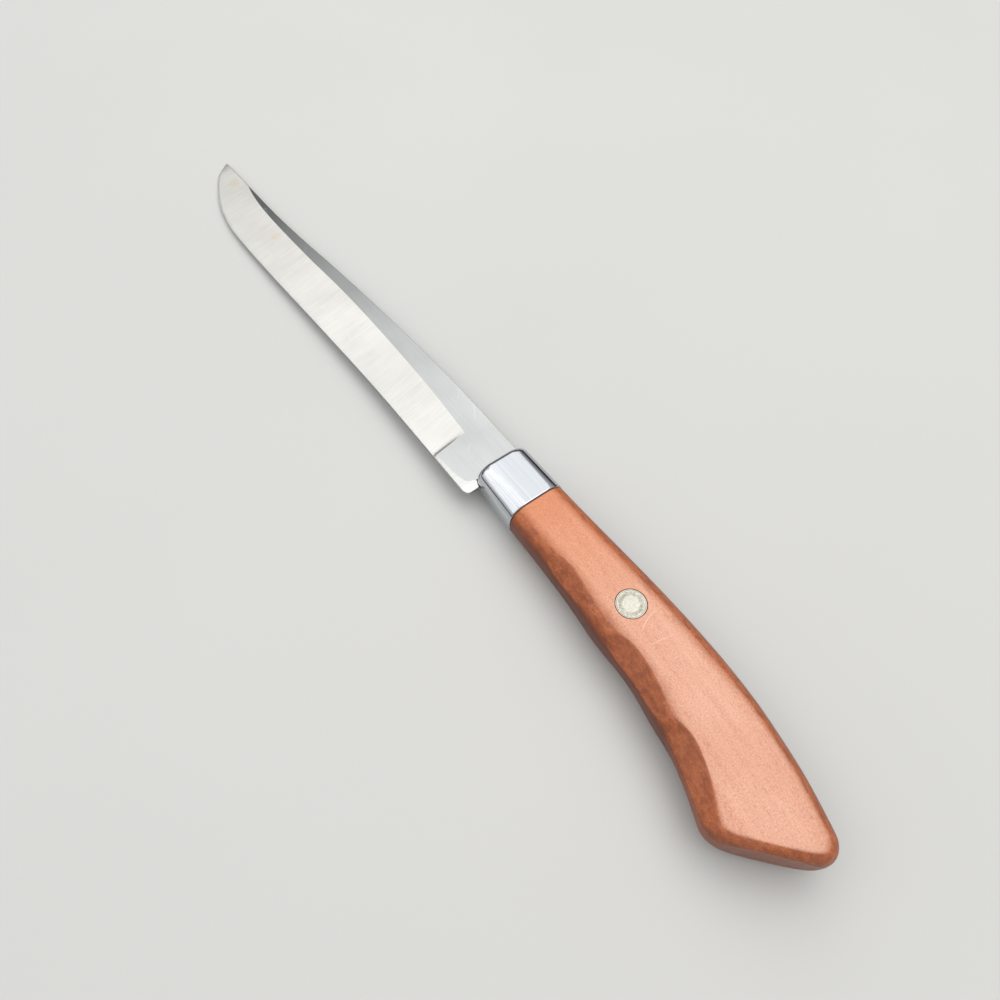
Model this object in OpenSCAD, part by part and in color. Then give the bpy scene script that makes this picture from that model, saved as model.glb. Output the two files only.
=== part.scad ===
// Carving knife: a hollow-ground slicing blade, a drawn metal ferrule and a one-piece wooden pistol grip.
// Millimetres, built round the knife's middle plane and the front face of its ferrule: x runs from the
// tip to the butt, y from the cutting edge to the spine, and z out of the side with the medallion.
// seat() then moves every piece, so that the knife lies on one flat of its handle at z = 0 and the
// origin is the middle of its bounding box's underside.

/* [Blade] */
// Length of the blade in front of the ferrule
blade_length = 203.2; // [170:0.1:230]
// Thickness of the blade's stock
blade_thickness = 2; // [1.6:0.1:2.6]
// Height of the spine above the axis at the heel
spine_rise = 9; // [7.5:0.1:9.6]
// Depth of the cutting edge below the axis at the heel
edge_depth = 14.5; // [12.5:0.1:17]
// How much deeper the belly hangs than the heel
belly_drop = 3.3; // [1:0.1:5]
// Height of the grind line above the axis at the middle of the blade
grind_rise = 0.9; // [-1:0.1:2]
// How far the grind line sinks below that height on its way to the point
grind_sink = 2.8; // [0:0.1:4]
// Thickness left at the top of the sharpened bevel
shoulder_thickness = 0.42; // [0.3:0.02:0.7]
// Thickness of the cutting edge itself
edge_thickness = 0.08; // [0.05:0.01:0.15]
// Width of the sharpened bevel
bevel_width = 0.8; // [0.5:0.1:2]
// Radius of the wheel that hollowed the sides
wheel_radius = 160; // [110:5:400]
// Distance from the ferrule to the foot of the plunge, where the grinding stops
plunge_distance = 15.6; // [10:0.1:25]
// Length over which the wheel runs out of the steel at the plunge
plunge_width = 2.2; // [1:0.1:4]
// Lean of the plunge towards the tip
plunge_lean = 9.4; // [0:0.1:20]
// How far the heel reaches back under the ferrule
heel_overhang = 2.7; // [0.4:0.1:4.5]
// Radius of the heel's lower corner
heel_radius = 2; // [0.8:0.1:2.4]
// Width of the heel's bevel where it meets the ferrule
heel_bevel = 5.6; // [2:0.1:6.5]
// Thickness left at the heel's unsharpened lower edge
heel_thickness = 0.9; // [0.1:0.05:1.4]

/* [Tang] */
// Length of the tang behind the ferrule's front face
tang_length = 92; // [80:0.5:100]
// Height of the tang where it leaves the blade
tang_root = 12; // [10:0.1:12.6]
// Height of the tang at its end
tang_tail = 8; // [7:0.1:9.6]
// Radius of the keying notches in the tang's edges
notch_radius = 1.2; // [0.6:0.1:1.5]

/* [Ferrule] */
// Length of the ferrule
ferrule_length = 19.8; // [16:0.1:24]
// Wall of the ferrule
ferrule_wall = 0.8; // [0.5:0.05:1.2]
// Radius of the ferrule's front rim
rim_radius = 1.6; // [1:0.1:2.2]
// Thickness of the ferrule at its front
ferrule_front_thickness = 13.8; // [12:0.1:14.6]
// Thickness of the ferrule at its rear, where the wood begins
ferrule_rear_thickness = 14.2; // [12.6:0.1:15]
// Top of the ferrule above the axis at its front
ferrule_front_top = 10.5; // [9.8:0.1:11.5]
// Underside of the ferrule below the axis at its front
ferrule_front_bottom = 9.3; // [9:0.1:10]
// Top of the ferrule above the axis at its rear
ferrule_rear_top = 10.7; // [10.2:0.1:11.6]
// Underside of the ferrule below the axis at its rear
ferrule_rear_bottom = 10.4; // [9.6:0.1:11.2]

/* [Handle] */
// Step from the ferrule's rear edge down to the shrunken wood
wood_step = 0.25; // [0:0.05:0.4]
// Distance from the ferrule to the middle of the oblique butt face
butt_distance = 115.8; // [106:0.1:128]
// Depth of the middle of the butt face below the axis
butt_depth = 13.5; // [11:0.1:16]
// Angle between the butt face and the axis
butt_angle = 40.8; // [37:0.1:48]
// Drop of the back from the ferrule to the butt
back_drop = 11; // [8:0.1:13]
// Drop of the belly of the grip from the ferrule to the butt
grip_drop = 18.6; // [16:0.1:21]
// Thickness across the two flats
flats_thickness = 16; // [15.4:0.1:17.6]
// Swell of the section beyond each flat, which the flats cut away
flat_cut = 0.2; // [0.1:0.05:0.4]
// Radius of the upper butt corner
butt_top_radius = 5.8; // [4:0.1:7]
// Radius of the lower butt corner
butt_low_radius = 7.5; // [5:0.1:10]
// Depth over which the butt rounds into the two sides
butt_round = 3.7; // [2.5:0.1:6]
// Half thickness of the butt face, as a share of the body's
butt_face = 0.7; // [0.4:0.01:0.85]

/* [Finger grooves] */
// Distance of the first groove behind the ferrule's front face
groove_start = 45.5; // [42:0.1:50]
// Distance between two grooves
groove_pitch = 30; // [26:0.1:31]
// Number of grooves on each side
groove_count = 3; // [1:1:3]
// Radius of the drum that cut the grooves
groove_drum = 30; // [22:1:45]
// Depth of the first groove, measured from the square corner of the section
groove_depth = 3.7; // [3.2:0.05:4.4]
// How much deeper each further groove goes
groove_extra_depth = 0.4; // [0:0.05:0.6]
// Slope of the grooves across the corner
groove_slope = 45; // [38:1:52]

/* [Medallion and pin] */
// Distance of the medallion behind the ferrule's front face
medallion_distance = 64.1; // [58:0.1:70]
// Height of the medallion's centre above the axis
medallion_height = -0.55; // [-1.5:0.05:0.5]
// Diameter of the medallion
medallion_diameter = 9.1; // [7:0.1:10]
// Thickness of the medallion
medallion_thickness = 1.2; // [0.8:0.1:1.8]
// Width of the medallion's raised rim
medallion_rim = 0.45; // [0.3:0.05:0.8]
// Depth of the sunken field inside the rim
field_depth = 0.1; // [0.05:0.01:0.2]
// Diameter of the pin through the wood and the tang
pin_diameter = 3; // [2:0.1:3.6]
// Wood left under the blind end of the pin
pin_floor = 2.5; // [1.5:0.1:4]

/* [Fits] */
// Gap round the medallion in its recess
medallion_clearance = 0.1; // [0.05:0.01:0.2]
// Gap round the pin in the wood and the cement
pin_clearance = 0.03; // [0.02:0.01:0.08]
// Gap round the pin in the tang
tang_hole_clearance = 0.25; // [0.15:0.05:0.4]
// Gap between the wooden tenon and the ferrule's wall
tenon_clearance = 0.1; // [0.05:0.01:0.2]
// Gap round the tang in the ferrule's slot
slot_clearance = 0.1; // [0.05:0.01:0.2]
// Gap between the heel and the underside of the ferrule
heel_clearance = 0.3; // [0.2:0.05:0.6]
// Thickness of the cement on every side of the tang
cement_gap = 0.7; // [0.4:0.05:0.9]
// Depth of the cement beyond the end of the tang
cement_end = 3; // [1:0.5:6]

/* [Hidden] */

// Blade curves: how far along the blade, from the ferrule to the tip, and what share of the rise or drop
spine_shape = [[0, 1], [0.15, 1], [0.25, 0.95], [0.4, 0.78], [0.55, 0.53], [0.7, 0.22], [0.8, 0.09], [1, 0]];
belly_shape = [[0, 0], [0.25, 0.02], [0.45, 0.4], [0.6, 0.78], [0.73, 1], [0.8, 0.93], [0.86, 0.4]];
point_shape = [[0.86, 1], [0.9, 0.84], [0.94, 0.62], [0.97, 0.4], [1, 0]];
grind_shape = [[0, -0.93], [0.087, -0.64], [0.2, -0.18], [0.37, 0], [0.5, -0.18], [0.63, -0.71], [0.78, -1],
               [0.86, -0.68], [0.92, 0.14], [1, 1.07]];
// Width of the heel's bevel, from the ferrule to the plunge, as a share of its growth
heel_shape = [[0, 1], [0.07, 0.5], [0.16, 0.32], [0.33, 0.17], [0.6, 0.08], [1, 0]];
// Grip curves: how far along the grip, from the ferrule to the butt face, and what share of the drop
back_shape = [[0, 0], [0.088, 0.011], [0.189, 0.034], [0.442, 0.089], [0.595, 0.053], [0.716, -0.055],
              [0.797, -0.192], [0.919, -0.477], [1.061, -0.962], [1.304, -1.81]];
grip_shape = [[0, 0], [0.088, 0.016], [0.189, 0.046], [0.29, 0.093], [0.371, 0.151], [0.493, 0.185],
              [0.539, 0.214], [0.615, 0.307], [0.696, 0.401], [0.777, 0.569], [0.838, 0.726], [0.949, 1.013],
              [1.101, 1.408]];
// Share of the grip over which it swells from the ferrule's thickness to its own
swell_share = 0.35;

section_power = 3;
butt_power = 2.3;
ring_points = 48;
grip_rings = 38;
butt_rings = 8;
rim_rings = 4;
blade_steps = 36;
plunge_steps = 4;
arc_steps = 8;
hollow_cuts = [1.3, 1, 0.67, 0.33, 0];
notch_places = [0.3, 0.45, 0.85];
overcut = 1;
run_out_lift = 1.15;
solve_steps = 24;
outline_crowding = 1.4;
grinding_crowding = 0.75;
// Shares of the grip between which its back, and its belly, run out at the butt
back_span = [0.5, 1.3];
belly_span = [0.4, 1.1];

half_blade = blade_thickness / 2;
half_shoulder = shoulder_thickness / 2;
half_edge = edge_thickness / 2;
half_heel = heel_thickness / 2;
half_flats = flats_thickness / 2;
half_body = half_flats + flat_cut;
tang_middle = (ferrule_front_top - ferrule_front_bottom) / 2;
tang_bend = tang_length - tang_tail / 2;
shoulder_low = -heel_clearance
    - mix(ferrule_front_bottom, ferrule_rear_bottom, heel_overhang / ferrule_length);
mortise_end = tang_length + cement_end;
wood_top = ferrule_rear_top - wood_step;
wood_bottom = wood_step - ferrule_rear_bottom;
wood_half = ferrule_rear_thickness / 2 - wood_step;
recess_floor = half_flats - medallion_thickness;
pin_foot = pin_floor - half_flats;
medallion_spot = [medallion_distance, medallion_height];
plunge_slant = tan(plunge_lean);
slope_step = groove_drum / 30;

function mix(a, b, t) = a + (b - a) * t;
function ease(t) = t * t * (3 - 2 * t);
function power(v, e) = sign(v) * pow(abs(v), e);
function arc(centre, r, from, to, steps) =
    [for (i = [0 : steps]) let (a = mix(from, to, i / steps)) centre + r * [cos(a), sin(a)]];

// A smooth curve through the points p, read at x
function knot(p, x, i = 0) = i >= len(p) - 2 || x < p[i + 1][0] ? i : knot(p, x, i + 1);
function slope(p, i) =
    let (a = p[max(i - 1, 0)], b = p[min(i + 1, len(p) - 1)]) (b[1] - a[1]) / (b[0] - a[0]);
function smooth(p, x) =
    let (i = knot(p, x), w = p[i + 1][0] - p[i][0], t = (x - p[i][0]) / w)
    mix(p[i][1], p[i + 1][1], ease(t))
    + w * t * (1 - t) * (slope(p, i) * (1 - t) - slope(p, i + 1) * t);

// A closed solid through rings of equally many points, with flat ends
module skin(rings) {
    n = len(rings[0]);
    last = (len(rings) - 1) * n;
    sides = [
        for (i = [0 : len(rings) - 2]) for (j = [0 : n - 1])
            let (a = i * n + j, b = i * n + (j + 1) % n) each [[a, a + n, b], [b, a + n, b + n]]
    ];
    ends = [[for (j = [0 : n - 1]) j], [for (j = [n - 1 : -1 : 0]) last + j]];
    polyhedron(points = [for (r = rings) each r], faces = concat(ends, sides));
}

// One section of ferrule or grip, between an upper and a lower point of the outline, with its sides
// swollen to half and pressed flat at limit
function section(upper, lower, half, limit) = [
    for (j = [0 : ring_points - 1])
        let (
            a = 360 * j / ring_points,
            middle = (upper + lower) / 2,
            reach = (upper - lower) / 2,
            spot = middle + reach * power(cos(a), 2 / section_power),
            swell = half * power(sin(a), 2 / section_power)
        )
        [spot[0], spot[1], max(-limit, min(limit, swell))]
];

// Blade
function spine_at(x) = spine_rise * smooth(spine_shape, -x / blade_length);
function belly_at(s) = -edge_depth - belly_drop * smooth(belly_shape, s);
function edge_at(x) =
    let (s = -x / blade_length, join = point_shape[0][0])
    s < join ? belly_at(s) : belly_at(join) * smooth(point_shape, min(s, 1));
function grind_at(x) = grind_rise + grind_sink * smooth(grind_shape, min(-x / blade_length, 1));
// Stations lie closer together towards the tip
function blade_station(t) = -blade_length * (1 - pow(t, outline_crowding));

function tang_half(x) = mix(tang_root, tang_tail, max(x, 0) / tang_bend) / 2;

blade_outline = concat(
    [for (i = [0 : blade_steps]) let (x = blade_station(i / blade_steps)) [x, spine_at(x)]],
    [[0, tang_middle + tang_root / 2]],
    arc([tang_bend, tang_middle], tang_tail / 2, 90, -90, 2 * arc_steps),
    [[0, tang_middle - tang_root / 2], [0, shoulder_low], [heel_overhang, shoulder_low]],
    arc([heel_overhang - heel_radius, heel_radius - edge_depth], heel_radius, 0, -90, arc_steps),
    [
        for (i = [blade_steps : -1 : 1])
            let (x = blade_station(i / blade_steps)) if (x < -heel_radius) [x, edge_at(x)]
    ]
);

// The hollow side of the blade at one station, from above the grind line down past the edge
function ground_ring(x, lift) =
    let (
        lean = plunge_slant * (1 - ease(min(1, max(0, -x / blade_length)))),
        low = edge_at(x),
        high = grind_at(x - lean * edge_depth),
        width = high - low - bevel_width,
        sag = width * width / (8 * wheel_radius),
        hollow = [
            for (v = hollow_cuts)
                [low + bevel_width + width * v, mix(half_shoulder, half_blade, v) - 4 * sag * v * (1 - v)]
        ],
        cut = concat(hollow, [[low, half_edge], [low - overcut, half_edge]]),
        top = half_blade + overcut,
        face = [for (c = cut) [c[0], mix(c[1], half_blade * run_out_lift, lift)]],
        ring = concat([[face[0][0], top]], face, [[low - overcut, top]])
    )
    [for (c = ring) [x - lean * (c[0] + edge_depth), c[0], c[1]]];

module ground_side() {
    foot = -plunge_distance;
    far = -blade_length - overcut;
    skin(concat(
        [for (i = [plunge_steps : -1 : 1]) ground_ring(mix(foot - plunge_width, foot, i / plunge_steps),
            ease(i / plunge_steps))],
        [for (i = [blade_steps : -1 : 0]) ground_ring(mix(-blade_length, foot - plunge_width,
            1 - pow(1 - i / blade_steps, grinding_crowding)), 0)],
        [ground_ring(far, 0)]
    ));
}

// The wedge that thins the heel's lower edge, narrow at the plunge and wide at the ferrule. Beyond the
// plunge it runs down to the cutting edge.
module heel_side() {
    end = -plunge_distance - plunge_width;
    places = concat(
        [[heel_overhang + overcut, heel_bevel, half_heel]],
        [for (h = heel_shape) [-plunge_distance * h[0], mix(bevel_width, heel_bevel, h[1]), half_heel]],
        [[end, bevel_width, half_edge]]
    );
    rise = hollow_cuts[0];
    top = half_blade + overcut;
    skin([
        for (p = places)
            let (low = edge_at(min(p[0], 0)), high = low + rise * p[1])
            [[p[0], high, top], [p[0], high, mix(p[2], half_blade, rise)],
             [p[0], low, p[2]], [p[0], low - overcut, p[2]], [p[0], low - overcut, top]]
    ]);
}

module blade_blank() {
    linear_extrude(blade_thickness, center = true)
        polygon(blade_outline);
}

module tang_notches() {
    for (s = notch_places, side = [-1, 1])
        let (x = s * tang_bend)
            translate([x, tang_middle + side * tang_half(x), 0])
                cylinder(h = blade_thickness + 2 * overcut, r = notch_radius, center = true, $fn = 32);
}

module pin_hole(gap) {
    translate(medallion_spot)
        cylinder(h = flats_thickness + 2 * overcut, d = pin_diameter + 2 * gap, center = true, $fn = 48);
}

module blade() {
    color("gainsboro")
        seat()
            difference() {
                blade_blank();
                for (side = [0, 1])
                    mirror([0, 0, side]) {
                        ground_side();
                        heel_side();
                    }
                tang_notches();
                pin_hole(tang_hole_clearance);
            }
}

// Ferrule
function ferrule_ring(x, inset) =
    let (s = x / ferrule_length, half = mix(ferrule_front_thickness, ferrule_rear_thickness, s) / 2 - inset)
    section(
        [x, mix(ferrule_front_top, ferrule_rear_top, s) - inset],
        [x, inset - mix(ferrule_front_bottom, ferrule_rear_bottom, s)],
        half + flat_cut,
        half
    );

// Block through the ferrule's front for the tang, or through the wood for tang and cement
module slot(from, to, gap, reach) {
    linear_extrude(blade_thickness + 2 * gap, center = true)
        polygon([
            [from, tang_middle - tang_half(from) - gap], [to, tang_middle - tang_half(to) - gap],
            [to + reach, tang_middle - tang_half(to) - gap], [to + reach, tang_middle + tang_half(to) + gap],
            [to, tang_middle + tang_half(to) + gap], [from, tang_middle + tang_half(from) + gap]
        ]);
}

module ferrule() {
    rim = [
        for (k = [rim_rings : -1 : 0])
            let (a = 90 * k / rim_rings) ferrule_ring(rim_radius * (1 - sin(a)), rim_radius * (1 - cos(a)))
    ];
    color("silver")
        seat()
            difference() {
                skin(concat(rim, [ferrule_ring(ferrule_length, 0)]));
                skin([
                    ferrule_ring(ferrule_wall, ferrule_wall),
                    ferrule_ring(ferrule_length + overcut, ferrule_wall)
                ]);
                slot(-overcut, ferrule_wall, slot_clearance, overcut);
            }
}

// Grip: the back and the belly of its outline at share t of its length
function grip_x(t) = ferrule_length + butt_distance * t;
function back_at(t) = [grip_x(t), wood_top + back_drop * smooth(back_shape, t)];
function belly_of_grip(t) = [grip_x(t), wood_bottom - grip_drop * smooth(grip_shape, t)];

butt_along = [-cos(butt_angle), -sin(butt_angle)];
butt_out = [sin(butt_angle), -cos(butt_angle)];
butt_middle = [ferrule_length + butt_distance, -butt_depth];

// Share of the length at which the back, or the belly, lies a given depth inside the butt face
function inside(p) = (butt_middle - p) * butt_out;
function solve_back(depth, low, high, k = 0) =
    let (t = (low + high) / 2)
    k == solve_steps ? t : inside(back_at(t)) > depth
        ? solve_back(depth, t, high, k + 1) : solve_back(depth, low, t, k + 1);
function solve_belly(depth, low, high, k = 0) =
    let (t = (low + high) / 2)
    k == solve_steps ? t : inside(belly_of_grip(t)) > depth
        ? solve_belly(depth, t, high, k + 1) : solve_belly(depth, low, t, k + 1);
function back_inside(depth) = solve_back(depth, back_span[0], back_span[1]);
function belly_inside(depth) = solve_belly(depth, belly_span[0], belly_span[1]);

// How far a rounded corner of radius r draws the outline in at a given depth inside the butt face
function corner_angle(a, b) = let (d = b - a) acos(abs(d * butt_along) / norm(d));
function corner_run(r, angle) = r / tan(angle / 2);
function corner_draw(depth, r, angle) =
    let (run = corner_run(r, angle), end = run * sin(angle))
    depth >= end ? 0 : run - sqrt(max(0, r * r - (r - depth) * (r - depth))) - depth / tan(angle);

back_corner = corner_angle(back_at(back_inside(0)), back_at(back_inside(butt_round)));
grip_corner = 180 - corner_angle(belly_of_grip(belly_inside(0)), belly_of_grip(belly_inside(butt_round)));
butt_zone = max(
    corner_run(butt_top_radius, back_corner) * sin(back_corner),
    corner_run(butt_low_radius, grip_corner) * sin(grip_corner),
    butt_round
);
back_end = back_inside(butt_zone);
belly_end = belly_inside(butt_zone);

// Finger grooves: a drum laid across the corner between flat and belly draws a point inwards
function groove_spot(k) = groove_start + groove_pitch * k;
function belly_line(x) = belly_of_grip((x - ferrule_length) / butt_distance)[1];
function groove_cut(p, half, k) =
    let (
        x = groove_spot(k),
        away = p[0] - x,
        fall = (belly_line(x + slope_step) - belly_line(x)) / slope_step,
        corner = belly_line(x) + fall * away,
        from_corner = (p[1] - corner) * cos(groove_slope) + (half - abs(p[2])) * sin(groove_slope),
        drum = groove_drum * groove_drum - away * away
    )
    drum <= 0 ? 0 : max(0, groove_depth + groove_extra_depth * k - groove_drum + sqrt(drum) - from_corner);
function grooved(p, half) =
    let (cut = max([for (k = [0 : groove_count - 1]) groove_cut(p, half, k)]))
    [p[0], p[1] + cut * cos(groove_slope), p[2] - sign(p[2]) * cut * sin(groove_slope)];

// The grip's own flats are cut afterwards, so a ring is pressed flat only where it is thinner than they are
function grip_ring(u) =
    let (
        swell = ease(min(1, u / swell_share)),
        limit = mix(wood_half, half_flats, swell),
        half = limit + flat_cut
    )
    [
        for (p = section(back_at(u * back_end), belly_of_grip(u * belly_end), half, swell < 1 ? limit : half))
            grooved(p, half)
    ];
function butt_ring(w) =
    let (
        depth = butt_zone * (1 - w),
        upper = back_at(back_inside(depth))
            + butt_along * corner_draw(depth, butt_top_radius, back_corner),
        lower = belly_of_grip(belly_inside(depth))
            - butt_along * corner_draw(depth, butt_low_radius, grip_corner),
        near = max(0, 1 - depth / butt_round),
        half = half_body * pow(1 - pow(near, butt_power) * (1 - pow(butt_face, butt_power)), 1 / butt_power)
    )
    [for (p = section(upper, lower, half, half)) grooved(p, half)];

grip_body = concat(
    [for (i = [0 : grip_rings]) grip_ring(i / grip_rings)],
    [for (i = [1 : butt_rings]) butt_ring(sin(90 * i / butt_rings))]
);
tenon_inset = ferrule_wall + tenon_clearance;

module handle() {
    color("sienna")
        seat()
            difference() {
                skin(concat(
                    [ferrule_ring(ferrule_wall, tenon_inset), ferrule_ring(ferrule_length, tenon_inset)],
                    grip_body
                ));
                for (side = [-1, 1])
                    translate([ferrule_length, -butt_distance, side * (half_flats + overcut) - overcut])
                        cube([2 * butt_distance, 2 * butt_distance, 2 * overcut]);
                slot(0, tang_bend, cement_gap, mortise_end - tang_bend);
                translate(concat(medallion_spot, [recess_floor]))
                    cylinder(
                        h = medallion_thickness + overcut,
                        d = medallion_diameter + 2 * medallion_clearance,
                        $fn = 72
                    );
                translate(concat(medallion_spot, [pin_foot]))
                    cylinder(
                        h = recess_floor - pin_foot + overcut,
                        d = pin_diameter + 2 * pin_clearance,
                        $fn = 48
                    );
            }
}

// A plain disc with a raised rim round a sunken field
module medallion() {
    color("whitesmoke")
        seat()
            translate(concat(medallion_spot, [recess_floor]))
                difference() {
                    cylinder(h = medallion_thickness, d = medallion_diameter, $fn = 72);
                    translate([0, 0, medallion_thickness - field_depth])
                        cylinder(h = overcut, d = medallion_diameter - 2 * medallion_rim, $fn = 72);
                }
}

module tang_pin() {
    color("goldenrod")
        seat()
            translate(concat(medallion_spot, [pin_foot]))
                cylinder(h = recess_floor - pin_foot, d = pin_diameter, $fn = 48);
}

// Cement that fills the mortise round the tang, and keys into its notches
module tang_cement() {
    color("darkkhaki")
        seat()
            difference() {
                slot(ferrule_wall, tang_bend, cement_gap, mortise_end - tang_bend);
                difference() {
                    blade_blank();
                    tang_notches();
                }
                pin_hole(pin_clearance);
            }
}

// The knife laid on the flat of its handle, with the origin under the middle of its bounding box
grip_xs = [for (r = grip_body) for (p = r) p[0]];
grip_ys = [for (r = grip_body) for (p = r) p[1]];
module seat() {
    translate([(blade_length - max(grip_xs)) / 2, -(max(grip_ys) + min(grip_ys)) / 2, half_flats])
        children();
}

blade();
ferrule();
handle();
medallion();
tang_pin();
tang_cement();
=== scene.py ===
import math

import bmesh
import bpy
import numpy as np
from mathutils import Matrix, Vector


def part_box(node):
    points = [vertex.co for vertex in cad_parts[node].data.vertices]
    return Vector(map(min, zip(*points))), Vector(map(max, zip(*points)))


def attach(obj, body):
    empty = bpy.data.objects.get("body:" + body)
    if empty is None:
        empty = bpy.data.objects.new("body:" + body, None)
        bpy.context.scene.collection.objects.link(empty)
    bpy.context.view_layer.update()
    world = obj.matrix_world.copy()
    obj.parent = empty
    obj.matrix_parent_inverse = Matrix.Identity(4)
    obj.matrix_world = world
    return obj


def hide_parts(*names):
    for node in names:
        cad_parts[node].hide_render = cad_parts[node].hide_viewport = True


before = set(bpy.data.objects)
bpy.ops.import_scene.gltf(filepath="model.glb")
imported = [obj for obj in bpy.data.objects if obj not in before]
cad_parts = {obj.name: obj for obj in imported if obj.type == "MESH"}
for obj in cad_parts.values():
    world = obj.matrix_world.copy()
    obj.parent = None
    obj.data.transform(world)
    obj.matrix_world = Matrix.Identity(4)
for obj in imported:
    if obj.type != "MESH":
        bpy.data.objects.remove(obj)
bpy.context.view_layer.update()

# Carving knife. The shapes are worked out in millimetres round the front face of the ferrule: x runs from the
# tip to the butt, y from the edge to the spine, z out of the side with the medallion.

ferruleLow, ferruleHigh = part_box("ferrule")
mm = 0.001
ferruleLength = 19.8
ferruleTopAtRear = 10.7      # its highest line, where it meets the wood
flatHeight = 8.0             # the handle's flats over the middle plane
medallionAt = (64.1, -0.55)  # its middle, and the tang pin's
weldDistance = 0.00002       # points of two patches nearer than this become one
knifeOrigin = np.array([
    ferruleLow.x, ferruleHigh.y - ferruleTopAtRear * mm, (ferruleLow.z + ferruleHigh.z) / 2,
])
print("frame loaded, front of the ferrule at", np.round(knifeOrigin, 5))


# Curves
def mix(a, b, t):
    # a at t = 0, b at t = 1, straight between them
    return a + (b - a) * t


def ease(t):
    # three times t squared, less two times t cubed
    return t * t * (3 - 2 * t)


def signedPower(value, exponent):
    # the size of the value to a power, with the value's own sign
    return np.sign(value) * np.abs(value) ** exponent


def quarterTurn(count):
    # angles from nothing to a right angle
    return np.linspace(0, math.pi / 2, count)


def smoothCurve(knots, x):
    # cubic through the knots, where each slope is the one between the two neighbours of its knot
    knots = np.array(knots, float)
    x = np.asarray(x, float)
    i = np.clip(np.searchsorted(knots[:, 0], x, side="right") - 1, 0, len(knots) - 2)
    before = np.maximum(np.arange(len(knots)) - 1, 0)
    after = np.minimum(np.arange(len(knots)) + 1, len(knots) - 1)
    slope = (knots[after, 1] - knots[before, 1]) / (knots[after, 0] - knots[before, 0])
    width = knots[i + 1, 0] - knots[i, 0]
    t = (x - knots[i, 0]) / width
    bend = width * t * (1 - t) * (slope[i] * (1 - t) - slope[i + 1] * t)
    return mix(knots[i, 1], knots[i + 1, 1], ease(t)) + bend


def section(upper, lower, half, limit, angle):
    # rounded oblong: along the line from lower to upper by cosine to the power 2/3, sideways by sine to the
    # power 2/3 times half, pressed flat at limit. upper and lower are (rings, 2), the result has a third axis
    # for the angles
    upper, lower = np.atleast_2d(upper)[:, None, :], np.atleast_2d(lower)[:, None, :]
    half, limit = np.reshape(half, (-1, 1)), np.reshape(limit, (-1, 1))
    along = signedPower(np.cos(angle), 2 / 3)[None, :, None]
    spot = (upper + lower) / 2 + (upper - lower) / 2 * along
    side = np.clip(half * signedPower(np.sin(angle), 2 / 3), -limit, limit)
    return np.concatenate([spot, side[..., None]], 2)


# Meshes
def patch(points, group, material=0, closed=False):
    # a grid of points (rows, columns, 3), its smoothing group, its material and whether its columns close up
    return {"points": np.asarray(points, float), "group": group, "material": material, "closed": closed}


def tube(points, group):
    # a patch whose rows are rings
    return patch(points, group, closed=True)


def mirrored(patches):
    # the same patches on the other side of the knife's middle plane
    return [dict(p, points=p["points"] * [1, 1, -1]) for p in patches]


def wall(line, group, material=0, closed=False):
    # from a line of points on one side straight across to the same line on the other side
    return patch(np.stack([line, line * [1, 1, -1]]), group, material, closed)


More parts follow.
